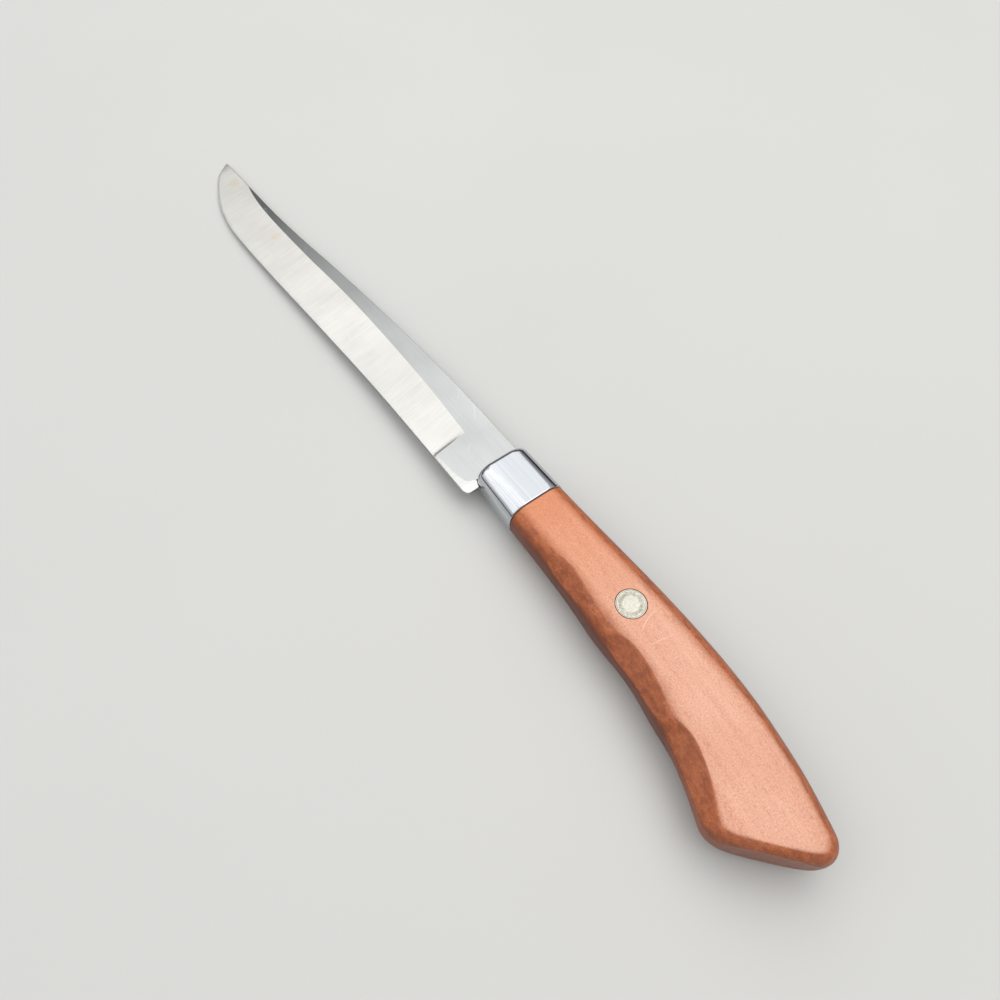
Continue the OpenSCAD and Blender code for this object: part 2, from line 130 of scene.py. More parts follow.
def makePiece(name, patches, materials, node):
    # welds the patches at their common points, turns their faces outwards and keeps an edge sharp wherever
    # two smoothing groups meet
    points, triangles, groups, numbers, start = [], [], [], [], 0
    for p in patches:
        rows, columns = p["points"].shape[:2]
        wide = columns if p["closed"] else columns - 1
        i, j = np.meshgrid(np.arange(rows - 1), np.arange(wide), indexing="ij")
        a, b = i * columns + j, i * columns + (j + 1) % columns
        c, d = b + columns, a + columns
        halves = [np.stack([a, b, c], -1).reshape(-1, 3), np.stack([a, c, d], -1).reshape(-1, 3)]
        made = np.concatenate(halves) + start
        points.append(p["points"].reshape(-1, 3))
        triangles.append(made)
        groups.append(np.full(len(made), p["group"]))
        numbers.append(np.full(len(made), p["material"]))
        start += rows * columns
    points, triangles = np.concatenate(points), np.concatenate(triangles)
    groups, numbers = np.concatenate(groups), np.concatenate(numbers)
    cells = np.round(points / weldDistance).astype(np.int64)
    _, first, place = np.unique(cells, axis=0, return_index=True, return_inverse=True)
    points, triangles = points[first], place.ravel()[triangles]
    a, b, c = triangles.T
    whole = (a != b) & (b != c) & (c != a)
    triangles, groups, numbers = triangles[whole], groups[whole], numbers[whole]

    mesh = bpy.data.meshes.new(name)
    mesh.vertices.add(len(points))
    mesh.vertices.foreach_set("co", (points * mm + knifeOrigin).astype(np.float32).ravel())
    mesh.loops.add(3 * len(triangles))
    mesh.loops.foreach_set("vertex_index", triangles.astype(np.int32).ravel())
    mesh.polygons.add(len(triangles))
    mesh.polygons.foreach_set("loop_start", np.arange(0, 3 * len(triangles), 3, dtype=np.int32))
    mesh.polygons.foreach_set("material_index", numbers.astype(np.int32))
    mesh.update(calc_edges=True)
    work = bmesh.new()
    work.from_mesh(mesh)
    bmesh.ops.recalc_face_normals(work, faces=work.faces)
    work.to_mesh(mesh)
    work.free()
    mesh.shade_smooth()

    pairs = np.sort(np.concatenate([triangles[:, [0, 1]], triangles[:, [1, 2]], triangles[:, [2, 0]]]), 1)
    keys = pairs[:, 0] * len(points) + pairs[:, 1]
    order = np.argsort(keys, kind="stable")
    keys, owners = keys[order], np.tile(groups, 3)[order]
    starts = np.flatnonzero(np.r_[True, keys[1:] != keys[:-1]])
    differs = np.maximum.reduceat(owners, starts) != np.minimum.reduceat(owners, starts)
    edges = np.empty(2 * len(mesh.edges), np.int32)
    mesh.edges.foreach_get("vertices", edges)
    edges = np.sort(edges.reshape(-1, 2), 1).astype(np.int64)
    found = np.searchsorted(keys[starts], edges[:, 0] * len(points) + edges[:, 1])
    mesh.edges.foreach_set("use_edge_sharp", differs[found])
    for material in materials:
        mesh.materials.append(material)

    piece = bpy.data.objects.new(name, mesh)
    bpy.context.scene.collection.objects.link(piece)
    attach(piece, "root")
    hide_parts(node)
    openEdges = int(np.sum(np.diff(np.r_[starts, len(keys)]) != 2))
    print(name, len(triangles), "triangles,", openEdges, "edges without exactly two faces")
    return piece


def holePatches(loop, centre, radius, rings, group, top):
    # from a closed loop of points to a circle inside it: each ring is a mix of the loop and the circle in the
    # plane, while the height comes up to top by the square of what is left
    angle = np.arctan2(loop[:, 1] - centre[1], loop[:, 0] - centre[0])
    circle = np.stack([centre[0] + radius * np.cos(angle), centre[1] + radius * np.sin(angle),
                       np.full(len(angle), top)], -1)
    v = np.linspace(0, 1, rings)[:, None, None]
    grid = mix(loop[None], circle[None], v)
    grid[..., 2] = top + (loop[None, :, 2] - top) * (1 - v[..., 0]) ** 2
    return tube(grid, group), circle


def windowLoop(grid, rowFrom, rowTo, columnFrom, columnTo):
    # the points round a rectangle of a grid, in order
    return np.concatenate([
        grid[rowFrom:rowTo, columnFrom], grid[rowTo, columnFrom:columnTo],
        grid[rowTo:rowFrom:-1, columnTo], grid[rowFrom, columnTo:columnFrom:-1],
    ])


# Node tools
def newGroup(name, vectors, numbers, output):
    # an empty shader group with its vector inputs, its number inputs and one output, each given by its label
    tree = bpy.data.node_groups.new(name, "ShaderNodeTree")
    for labels, kind in ((vectors, "NodeSocketVector"), (numbers, "NodeSocketFloat")):
        for label in labels:
            tree.interface.new_socket(label, in_out="INPUT", socket_type=kind)
    tree.interface.new_socket(output, in_out="OUTPUT", socket_type="NodeSocketFloat")
    given, made = tree.nodes.new("NodeGroupInput"), tree.nodes.new("NodeGroupOutput")
    return tree, given.outputs, made.inputs


def join(tree, socket, value):
    # a socket linked to another node's output, or given a plain value
    if isinstance(value, bpy.types.NodeSocket):
        tree.links.new(value, socket)
    else:
        socket.default_value = value


def addNode(tree, kind, settings=None, **sockets):
    # a node with its settings and its sockets, which are named, or numbered after an underscore
    node = tree.nodes.new(kind)
    for key, value in (settings or {}).items():
        setattr(node, key, value)
    for key, value in sockets.items():
        join(tree, node.inputs[int(key[1:]) if key[0] == "_" else key], value)
    return node


def combine(tree, operation, a, b=0.0):
    return addNode(tree, "ShaderNodeMath", {"operation": operation}, _0=a, _1=b).outputs[0]


def times(tree, a, b):
    return combine(tree, "MULTIPLY", a, b)


def plus(tree, a, b):
    return combine(tree, "ADD", a, b)


def minus(tree, a, b):
    return combine(tree, "SUBTRACT", a, b)


def vectorMath(tree, operation, vector, other):
    return addNode(tree, "ShaderNodeVectorMath", {"operation": operation}, _0=vector, _1=other)


def distance(tree, vector, spot):
    return vectorMath(tree, "DISTANCE", vector, spot).outputs["Value"]


def stretched(tree, vector, scale, turn=0.0):
    # the vector turned about z and then multiplied by a scale along each axis
    aboutZ = {"rotation_type": "Z_AXIS"}
    turned = addNode(tree, "ShaderNodeVectorRotate", aboutZ, Vector=vector, Angle=turn).outputs[0]
    return vectorMath(tree, "MULTIPLY", turned, scale).outputs[0]


def noise(tree, vector, scale, detail=2.0, roughness=0.5):
    return addNode(tree, "ShaderNodeTexNoise", Vector=vector, Scale=scale, Detail=detail,
                   Roughness=roughness).outputs[0]


def ramp(tree, value, low, high, outLow=0.0, outHigh=1.0):
    # value from low to high becomes outLow to outHigh, held at both ends
    return addNode(tree, "ShaderNodeMapRange", {"clamp": True}, _0=value, _1=low, _2=high,
                   _3=outLow, _4=outHigh).outputs[0]


def blendColours(tree, factor, first, second, how="MIX"):
    # either colour is a socket, or three values from 0 to 255
    node = tree.nodes.new("ShaderNodeMix")
    node.data_type, node.blend_type = "RGBA", how
    join(tree, node.inputs[0], factor)
    for number, colour in ((6, first), (7, second)):
        join(tree, node.inputs[number], shown(*colour) if isinstance(colour, tuple) else colour)
    return node.outputs[2]


def shown(red, green, blue):
    # a colour given as it looks on screen, 0 to 255, turned to the linear colour that nodes use
    values = np.array([red, green, blue]) / 255
    return tuple(np.where(values <= 0.04045, values / 12.92, ((values + 0.055) / 1.055) ** 2.4)) + (1.0,)


def placed(group, tree, **sockets):
    # the output of a shared group
    node = tree.nodes.new("ShaderNodeGroup")
    node.node_tree = group
    for key, value in sockets.items():
        join(tree, node.inputs[key], value)
    return node.outputs[0]


def newMaterial(name):
    # a material, its tree and the place on the object that its patterns follow
    material = bpy.data.materials.new(name)
    material.use_nodes = True
    tree = material.node_tree
    return material, tree, tree.nodes.new("ShaderNodeTexCoord").outputs["Object"]


def shade(material, height, depth, **values):
    # gives the material's shader a bump and the other values, whose names are the sockets' without spaces
    tree = material.node_tree
    shader = tree.nodes["Principled BSDF"]
    values["Normal"] = addNode(tree, "ShaderNodeBump", Strength=1.0, Distance=depth, Height=height).outputs[0]
    sockets = {socket.name.replace(" ", ""): socket for socket in shader.inputs}
    for label, value in values.items():
        join(tree, sockets[label], value)
    return material


# Shared effects
def makeStreakGroup():
    # lines in one direction: a noise squeezed along the lines, sharpened, and broken up by a coarser noise
    tree, given, made = newGroup(
        "fineLines", ["Vector"], ["Turn", "Pitch", "Stretch", "Sharpness", "Break"], "Lines")
    scale = addNode(tree, "ShaderNodeCombineXYZ", X=given["Pitch"], Y=given["Stretch"], Z=given["Stretch"])
    fine = noise(tree, stretched(tree, given["Vector"], scale.outputs[0], given["Turn"]), 1.0, 3.0, 0.6)
    reach = minus(tree, 0.55, times(tree, given["Sharpness"], 0.5))
    lines = ramp(tree, fine, minus(tree, 0.5, reach), plus(tree, 0.5, reach))
    kept = ramp(tree, noise(tree, given["Vector"], given["Break"], 2.0), 0.3, 0.7, 0.45, 1.0)
    broken = times(tree, minus(tree, lines, 0.5), kept)
    tree.links.new(plus(tree, broken, 0.5), made["Lines"])
    return tree


def makeScratchGroup():
    # hairline scratches: the thin borders between stretched cells, kept only where a coarse noise is high
    tree, given, made = newGroup(
        "hairScratches", ["Vector"], ["Turn", "Size", "Width", "Amount"], "Scratches")
    drawn = stretched(tree, given["Vector"], (0.35, 1.0, 1.0), given["Turn"])
    cells = addNode(tree, "ShaderNodeTexVoronoi", {"feature": "DISTANCE_TO_EDGE"}, Vector=drawn,
                    Scale=given["Size"], Randomness=1.0).outputs[0]
    line = ramp(tree, cells, 0.0, given["Width"], 1.0, 0.0)
    some = noise(tree, given["Vector"], times(tree, given["Size"], 0.9), 1.0)
    least = minus(tree, 0.75, times(tree, given["Amount"], 0.3))
    keep = ramp(tree, some, least, plus(tree, least, 0.06))
    tree.links.new(times(tree, line, keep), made["Scratches"])
    return tree


def makeSpotGroup():
    # a soft round spot: one at its centre, falling to nothing at its radius, frayed by a noise
    tree, given, made = newGroup("softSpot", ["Vector", "Centre"], ["Radius", "Fray"], "Spot")
    share = combine(tree, "DIVIDE", distance(tree, given["Vector"], given["Centre"]), given["Radius"])
    fray = minus(tree, noise(tree, given["Vector"], 900.0, 3.0, 0.65), 0.5)
    frayed = plus(tree, share, times(tree, fray, given["Fray"]))
    spot = addNode(tree, "ShaderNodeMapRange", {"clamp": True, "interpolation_type": "SMOOTHSTEP"},
                   _0=frayed, _1=0.35, _2=1.0, _3=1.0, _4=0.0)
    tree.links.new(spot.outputs[0], made["Spot"])
    return tree


fineLines, hairScratches, softSpot = makeStreakGroup(), makeScratchGroup(), makeSpotGroup()


def onKnife(x, y, z=0.0):
    # a spot given in the knife's own millimetres, as a point of the frame
    return tuple(np.array([x, y, z]) * mm + knifeOrigin)


def alongKnife(tree, spot, start, end, outLow=0.0, outHigh=1.0):
    # a ramp between two places along the knife, in its own millimetres
    along = addNode(tree, "ShaderNodeSeparateXYZ", Vector=spot).outputs["X"]
    return ramp(tree, along, onKnife(start, 0)[0], onKnife(end, 0)[0], outLow, outHigh)


# Materials
scratchPale = (250, 250, 248)
steelHairs = {"Turn": 0.5, "Size": 120.0, "Width": 0.01, "Amount": 0.55}
steelLines = {"Stretch": 70.0, "Sharpness": 0.5, "Break": 150.0}
steelFlatLook = {
    # the flats' greys are darker than the ground steel's: partly their polished finish, partly painted
    # reflection
    "dark": (174, 177, 177), "light": (186, 188, 188), "roughness": 0.3, "bump": 0.000004,
    "linePitch": 2600.0, "turn": math.pi / 2,
    # painted reflection: the polished flats are painted darker and darker towards the point, as if they
    # mirrored a darker and darker room
    "far": (86, 88, 88), "fadeFrom": -40.0, "fadeTo": -165.0,
}
steelGroundLook = {
    "dark": (200, 199, 195), "light": (222, 221, 217), "roughness": 0.4, "bump": 0.00001,
    "linePitch": 3400.0, "turn": math.radians(-9.4),
    # faint spots, each with its place on the knife and its radius
    "stain": (205, 178, 118), "stainStrength": 0.22, "stains": ((-187.6, -3.7, 3.6), (-146.0, -5.8, 3.2)),
}
steelBevelLook = {
    "dark": (198, 199, 197), "light": (230, 230, 226), "roughness": 0.42, "bump": 0.000008,
    "linePitch": 3000.0, "turn": 0.2,
}


def makeSteel(name, look):
    # fine ground lines between two greys, under slow clouds and a few hairline scratches
    material, tree, spot = newMaterial(name)
    lines = placed(fineLines, tree, Vector=spot, Turn=look["turn"], Pitch=look["linePitch"], **steelLines)
    scratch = placed(hairScratches, tree, Vector=spot, **steelHairs)
    colour = blendColours(tree, lines, look["dark"], look["light"])
    cloud = ramp(tree, noise(tree, spot, 45.0, 3.0), 0.3, 0.7, 0.9, 1.04)
    clouds = addNode(tree, "ShaderNodeCombineXYZ", X=cloud, Y=cloud, Z=cloud).outputs[0]
    colour = blendColours(tree, 1.0, colour, clouds, "MULTIPLY")
    # painted reflection: the flats' colour darkens towards the point
    if "far" in look:
        paintedReflection = alongKnife(tree, spot, look["fadeFrom"], look["fadeTo"])
        colour = blendColours(tree, paintedReflection, colour, look["far"])
    for x, y, radius in look.get("stains", ()):
        mark = placed(softSpot, tree, Vector=spot, Centre=onKnife(x, y, 0.6), Radius=radius * mm, Fray=1.1)
        strength = times(tree, mark, look["stainStrength"])
        colour = blendColours(tree, strength, colour, look["stain"])
    colour = blendColours(tree, times(tree, scratch, 0.2), colour, scratchPale)
    rough = ramp(tree, lines, 0.0, 1.0, look["roughness"] + 0.06, look["roughness"] - 0.05)
    height = minus(tree, lines, times(tree, scratch, 0.8))
    return shade(material, height, look["bump"], BaseColor=colour, Metallic=1.0, Roughness=rough)


chromeLook = {
    "dark": (184, 188, 193), "light": (208, 211, 214), "roughness": 0.08, "bump": 0.0000015,
    "hairs": {"Turn": 1.2, "Size": 260.0, "Width": 0.012, "Amount": 0.6},
    "crossHairs": {"Turn": -0.3, "Size": 190.0, "Width": 0.01, "Amount": 0.5},
    "haze": 320.0, "streaks": (14.0, 1500.0, 1500.0), "streaksFade": (-5, 0),
}


def makeChrome():
    # haze and crossing hairlines, with streaks drawn along the ferrule, strongest on the belly's side
    material, tree, spot = newMaterial("ferruleChrome")
    look = chromeLook
    scratch = placed(hairScratches, tree, Vector=spot, **look["hairs"])
    cross = placed(hairScratches, tree, Vector=spot, **look["crossHairs"])
    marks = combine(tree, "MAXIMUM", scratch, cross)
    haze = ramp(tree, noise(tree, spot, look["haze"], 3.0), 0.35, 0.75)
    streak = ramp(tree, noise(tree, stretched(tree, spot, look["streaks"]), 1.0, 3.0, 0.6), 0.36, 0.64)
    across = addNode(tree, "ShaderNodeSeparateXYZ", Vector=spot).outputs["Y"]
    drawn = ramp(tree, across, *(onKnife(0, y)[1] for y in look["streaksFade"]), 1.0, 0.2)
    colour = blendColours(tree, times(tree, streak, drawn), look["dark"], look["light"])
    colour = blendColours(tree, times(tree, haze, 0.3), colour, look["dark"])
    rough = ramp(tree, haze, 0.0, 1.0, look["roughness"] - 0.02, look["roughness"] + 0.05)
    rough = plus(tree, rough, times(tree, marks, 0.2))
    height = times(tree, marks, -1.0)
    return shade(material, height, look["bump"], BaseColor=colour, Metallic=1.0, Roughness=rough)


woodLook = {
    # the flats' colours are lifted to stand in for the varnish's sheen: the wood's own figure with painted
    # sheen
    "dark": (203, 130, 100), "mid": (222, 160, 130), "pale": (248, 200, 176), "warm": (236, 148, 92),
    # side, stain and under paint shade: the colours of the sides turned away from the light, darker mottles
    # in them, and the darkest underneath and along the back
    "side": (166, 82, 44), "stain": (122, 56, 30), "under": (94, 30, 8), "pore": (150, 86, 60),
    "dirt": (44, 26, 20), "scratch": (250, 214, 190),
    # places along the knife between which the warm front ends, the painted shade on the rounding gets
    # narrower, the painted shade underneath gives way to the butt, and the dirt in the joint ends
    "warmTo": (20, 75), "spreadTo": (88, 110), "buttFrom": (96, 110),
    "jointTo": (ferruleLength + 0.15, ferruleLength + 0.55),
    # how often a pattern repeats in a metre, along and across the grain
    "figure": (26.0, 405.0), "fibre": (156.0, 2880.0), "pores": (500.0, 5200.0), "speckle": (1900.0, 3000.0),
    "stains": (330.0, 620.0), "grainTurn": 0.12,
    # pale curved scratches: a ring's centre and radius, then the spot that cuts it short
    "scratches": ((85.5, 4.6, 15.9, 71.0, 0.0, 6.0), (109.8, -9.0, 33.7, 77.2, -1.2, 5.0)),
    "scratchStrength": 0.6,
    "hairs": {"Turn": 0.9, "Size": 110.0, "Width": 0.008, "Amount": 0.35},
    "roughness": 0.36, "bump": 0.00002, "specular": 0.25, "coat": 0.06, "coatRoughness": 0.28,
}


def makeWood():
    # figure, pores and mottling are noises stretched along the grain, blended one over the other, with
    # painted shade on the sides and painted sheen on the flats
    material, tree, spot = newMaterial("handleWood")
    look = woodLook

    def grained(pattern, vector, *detail):
        # a noise stretched along the grain
        along, across = look[pattern]
        return noise(tree, stretched(tree, vector, (along, across, across), look["grainTurn"]), 1.0, *detail)

    # long figure of the grain, bent slightly by a slow noise
    slow = addNode(tree, "ShaderNodeTexNoise", Vector=spot, Scale=22.0, Detail=1.0).outputs["Color"]
    bend = addNode(tree, "ShaderNodeVectorMath", {"operation": "SCALE"}, _0=slow, Scale=0.004).outputs[0]
    bent = vectorMath(tree, "ADD", spot, bend).outputs[0]
    figure, fibre = grained("figure", bent, 4.0, 0.55), grained("fibre", bent, 2.0, 0.6)
    pores = ramp(tree, grained("pores", bent, 1.0), 0.63, 0.72)
    speckle = grained("speckle", spot, 2.0, 0.7)
    cloud = noise(tree, spot, 60.0, 3.0)
    # painted sheen: the flats' figure is drawn in colours lifted by the varnish's sheen
    colour = blendColours(tree, ramp(tree, figure, 0.3, 0.7), look["dark"], look["mid"])
    colour = blendColours(tree, ramp(tree, speckle, 0.3, 0.7, 0.05, 0.8), colour, look["pale"])
    # the wood turns warmer towards the ferrule
    warmer = blendColours(tree, ramp(tree, speckle, 0.3, 0.7), look["dark"], look["warm"])
    colour = blendColours(tree, alongKnife(tree, spot, *look["warmTo"], 0.85, 0.0), colour, warmer)
    # painted shade: darker where the flats turn over into the sides, by one minus the normal's z, stored with
    # the mesh
    turned = addNode(tree, "ShaderNodeAttribute", {"attribute_name": "turned"}).outputs["Fac"]
    spread = alongKnife(tree, spot, *look["spreadTo"], 0.0, -0.04)
    rounded = ramp(tree, plus(tree, turned, spread), 0.004, 0.08, 0.0, 0.92)
    shadedSides = blendColours(tree, ramp(tree, speckle, 0.34, 0.66, 0.0, 0.4), look["side"], look["warm"])
    # darker mottles in the painted shade: partly the wood's own mottling, partly painted shade in the grooves
    stains = ramp(tree, grained("stains", spot, 3.0, 0.6), 0.42, 0.64, 0.0, 0.7)
    shadedSides = blendColours(tree, stains, shadedSides, look["stain"])
    # painted shade, darkest underneath and along the back, less so on the butt
    behind = addNode(tree, "ShaderNodeAttribute", {"attribute_name": "behind"}).outputs["Fac"]
    butt = alongKnife(tree, spot, *look["buttFrom"], 1.0, 0.3)
    below = times(tree, ramp(tree, turned, 0.22, 0.85), butt)
    deepShade = combine(tree, "MAXIMUM", below, ramp(tree, behind, 0.45, 0.95, 0.0, 0.85))
    shadedSides = blendColours(tree, deepShade, shadedSides, look["under"])
    clouded = ramp(tree, cloud, 0.35, 0.7, 0.0, 0.2)
    joint = alongKnife(tree, spot, *look["jointTo"], 0.85, 0.0)
    for share, layer in ((rounded, shadedSides), (clouded, look["dark"]), (times(tree, pores, 0.3), look["pore"]),
                         (joint, look["dirt"])):
        colour = blendColours(tree, share, colour, layer)
    for centreX, centreY, radius, spotX, spotY, reach in look["scratches"]:
        apart = distance(tree, spot, onKnife(centreX, centreY, flatHeight))
        away = combine(tree, "ABSOLUTE", minus(tree, apart, radius * mm))
        middle = onKnife(spotX, spotY, flatHeight)
        part = placed(softSpot, tree, Vector=spot, Centre=middle, Radius=reach * mm, Fray=1.2)
        line = times(tree, ramp(tree, away, 0.00004, 0.00016, 1.0, 0.0), part)
        line = times(tree, line, look["scratchStrength"])
        colour = blendColours(tree, line, colour, look["scratch"])
    rough = ramp(tree, fibre, 0.3, 0.7, look["roughness"] - 0.05, look["roughness"] + 0.07)
    rough = plus(tree, rough, times(tree, pores, 0.15))
    scratch = placed(hairScratches, tree, Vector=spot, **look["hairs"])
    height = minus(tree, times(tree, fibre, 0.35), times(tree, pores, 0.7))
    height = minus(tree, height, times(tree, scratch, 0.5))
    return shade(material, height, look["bump"], BaseColor=colour, Roughness=rough, CoatWeight=look["coat"],
                 SpecularIORLevel=look["specular"], CoatRoughness=look["coatRoughness"])


medallionLook = {
    "colour": (180, 178, 169), "groove": (156, 148, 120), "roughness": 0.34, "bump": 0.000006,
    "hairs": {"Turn": 0.2, "Size": 700.0, "Width": 0.03, "Amount": 0.7},
    # distances from the middle between which the dirt sets in and ends
    "dirtFrom": (2.3, 2.6), "dirtTo": (3.7, 4.0),
}


def makeMedallionMetal():
    # dirt lies in the ring of beads: one between its inner and outer border, broken up by a noise
    material, tree, spot = newMaterial("medallionMetal")
    look = medallionLook
    scratch = placed(hairScratches, tree, Vector=spot, **look["hairs"])
    apart = distance(tree, spot, onKnife(*medallionAt, flatHeight))
    inner = ramp(tree, apart, look["dirtFrom"][0] * mm, look["dirtFrom"][1] * mm)
    outer = ramp(tree, apart, look["dirtTo"][0] * mm, look["dirtTo"][1] * mm, 1.0, 0.0)
    ring = ramp(tree, times(tree, inner, outer), 0.0, 1.0, 0.35, 1.0)
    dirt = times(tree, ramp(tree, noise(tree, spot, 1500.0, 3.0), 0.4, 0.65), ring)
    colour = blendColours(tree, times(tree, dirt, 0.5), look["colour"], look["groove"])
    rough = ramp(tree, dirt, 0.0, 1.0, look["roughness"], look["roughness"] + 0.2)
    height = times(tree, scratch, -1.0)
    return shade(material, height, look["bump"], BaseColor=colour, Metallic=1.0, Roughness=rough)


pinLook = {
    "dark": (160, 122, 62), "light": (190, 150, 80), "roughness": 0.35, "bump": 0.00001,
    "lines": {"Turn": 0.0, "Pitch": 300.0, "Stretch": 4000.0, "Sharpness": 0.6, "Break": 500.0},
}


def makePinBrass():
    # lines drawn round a brass wire
    material, tree, spot = newMaterial("pinBrass")
    lines = placed(fineLines, tree, Vector=spot, **pinLook["lines"])
    colour = blendColours(tree, lines, pinLook["dark"], pinLook["light"])
    return shade(material, lines, pinLook["bump"], BaseColor=colour, Metallic=1.0,
                 Roughness=pinLook["roughness"])


cementLook = {
    "dark": (118, 104, 72), "light": (168, 152, 112), "roughness": 0.75, "grain": 900.0, "bump": 0.0001,
}


def makeCement():
    # dull and grainy, from a fine noise
    material, tree, spot = newMaterial("tangCement")
    look = cementLook
    grain = noise(tree, spot, look["grain"], 5.0, 0.7)
    colour = blendColours(tree, ramp(tree, grain, 0.3, 0.7), look["dark"], look["light"])
    return shade(material, grain, look["bump"], BaseColor=colour, Roughness=look["roughness"])


steelFlat = makeSteel("bladeFlatSteel", steelFlatLook)
steelGround = makeSteel("bladeGroundSteel", steelGroundLook)
steelBevel = makeSteel("bladeBevelSteel", steelBevelLook)
chrome = makeChrome()
wood = makeWood()
medallionMetal = makeMedallionMetal()
pinBrass = makePinBrass()
cement = makeCement()
print("materials made")


# Blade
bladeShape = {
    "length": 203.2, "thickness": 2.0, "spineRise": 9.0, "edgeDepth": 14.5, "bellyDrop": 3.3,
    # curves over the share of the length from the ferrule, as shares of the rise or the drop
    "spine": [[0, 1], [0.15, 1], [0.25, 0.95], [0.4, 0.78], [0.55, 0.53], [0.7, 0.22], [0.8, 0.09], [1, 0]],
    "belly": [[0, 0], [0.25, 0.02], [0.45, 0.4], [0.6, 0.78], [0.73, 1], [0.8, 0.93], [0.86, 0.4]],
    "point": [[0.86, 1], [0.9, 0.84], [0.94, 0.62], [0.97, 0.4], [1, 0]],
    "grindRise": 0.9, "grindSink": 2.8,
    "grind": [[0, -0.93], [0.087, -0.64], [0.2, -0.18], [0.37, 0], [0.5, -0.18], [0.63, -0.71], [0.78, -1],
              [0.86, -0.68], [0.92, 0.14], [1, 1.07]],
    "shoulder": 0.42, "edge": 0.08, "bevel": 0.8, "bevelWave": 0.22, "wheel": 160.0, "spineRound": 0.18,
    # three sines along the edge: size, pace and shift
    "waves": ((0.5, 0.9, 0), (0.3, 2.3, 1), (0.4, 0.31, 2)), "waveFrom": 10,
    "plunge": 15.6, "plungeWidth": 1.9, "plungeSlant": math.tan(math.radians(9.4)),
    "heelBevel": 5.6, "heelOverhang": 2.7, "heelRadius": 2.0, "heelThickness": 0.9,
    "heel": [[0, 1], [0.07, 0.5], [0.16, 0.32], [0.33, 0.17], [0.6, 0.08], [1, 0]],
    "tangLength": 92.0, "tangRoot": 12.0, "tangTail": 8.0, "tangMiddle": 0.6,
    "notchRadius": 1.2, "notches": [0.3, 0.45, 0.85], "pinHole": 1.75, "window": 4.0,
    # the heel's top ends along the ferrule's rounded front rim
    "shoulderLow": -8.92, "ferruleBottom": -9.55, "ferruleRim": (2.6, 1.6),
    "rowsAlong": 230, "rowsHeel": 60, "rowsRunOut": 14, "crowdHeel": 1.6, "crowdTip": 1.35, "lastRow": 0.9998,
    # steps down a station; the flat's and the hollow's are parted at the tang's top and bottom
    "roundSteps": 5, "flatSteps": (4, 12), "hollowSteps": (11, 11), "bevelSteps": 13,
    "tangRows": 45, "notchRows": 13, "endRows": 14, "windowRows": 17, "holeRings": 6, "heelColumns": 7,
}


def spineAt(x):
    # the rise at the ferrule times the spine's curve
    b = bladeShape
    return b["spineRise"] * smoothCurve(b["spine"], np.clip(-x / b["length"], 0, 1))


def edgeAt(x):
    # the belly's curve up to where the point begins, and from there the belly's depth times the point's curve
    b = bladeShape
    share = np.clip(-x / b["length"], 0, 1)
    pointFrom = b["point"][0][0]

    def bellyAt(share):
        return -b["edgeDepth"] - b["bellyDrop"] * smoothCurve(b["belly"], share)

    point = bellyAt(pointFrom) * smoothCurve(b["point"], np.maximum(share, pointFrom))
    return np.where(share < pointFrom, bellyAt(np.minimum(share, pointFrom)), point)


def grindAt(x):
    # the grind line's own height plus its sink times the grind's curve
    b = bladeShape
    return b["grindRise"] + b["grindSink"] * smoothCurve(b["grind"], np.clip(-x / b["length"], 0, 1))


def bevelAt(station):
    # widening over the heel by the heel's curve, beyond it the bevel's width times one plus a sum of sines
    b = bladeShape
    widening = smoothCurve(b["heel"], np.clip(-station / b["plunge"], 0, 1))
    wave = 1 + b["bevelWave"] * sum(np.sin(station * pace + shift) * size for size, pace, shift in b["waves"])
    waving = mix(1, wave, np.clip((-station - b["plunge"]) / b["waveFrom"], 0, 1))
    return np.where(station > -b["plunge"], mix(b["bevel"], b["heelBevel"], widening), b["bevel"] * waving)


def stationsAlong():
    # from the ferrule to the tip, closer together towards the plunge and towards the tip
    b = bladeShape
    heel = -b["plunge"] * (1 - np.linspace(1, 0, b["rowsHeel"]) ** b["crowdHeel"])
    runOut = -b["plunge"] - b["plungeWidth"] * np.linspace(0, 1, b["rowsRunOut"])[1:]
    rest = np.linspace(0, 1, b["rowsAlong"])[1:]
    far = mix(runOut[-1], -b["length"] * b["lastRow"], 1 - (1 - rest) ** b["crowdTip"])
    return np.concatenate([heel, runOut, far])


def twoSpans(start, middle, end, steps):
    # even steps from start to middle and from middle to end
    beyond = np.linspace(middle, end, steps[1] + 1)[1:]
    return np.concatenate([np.linspace(start, middle, steps[0] + 1), beyond])


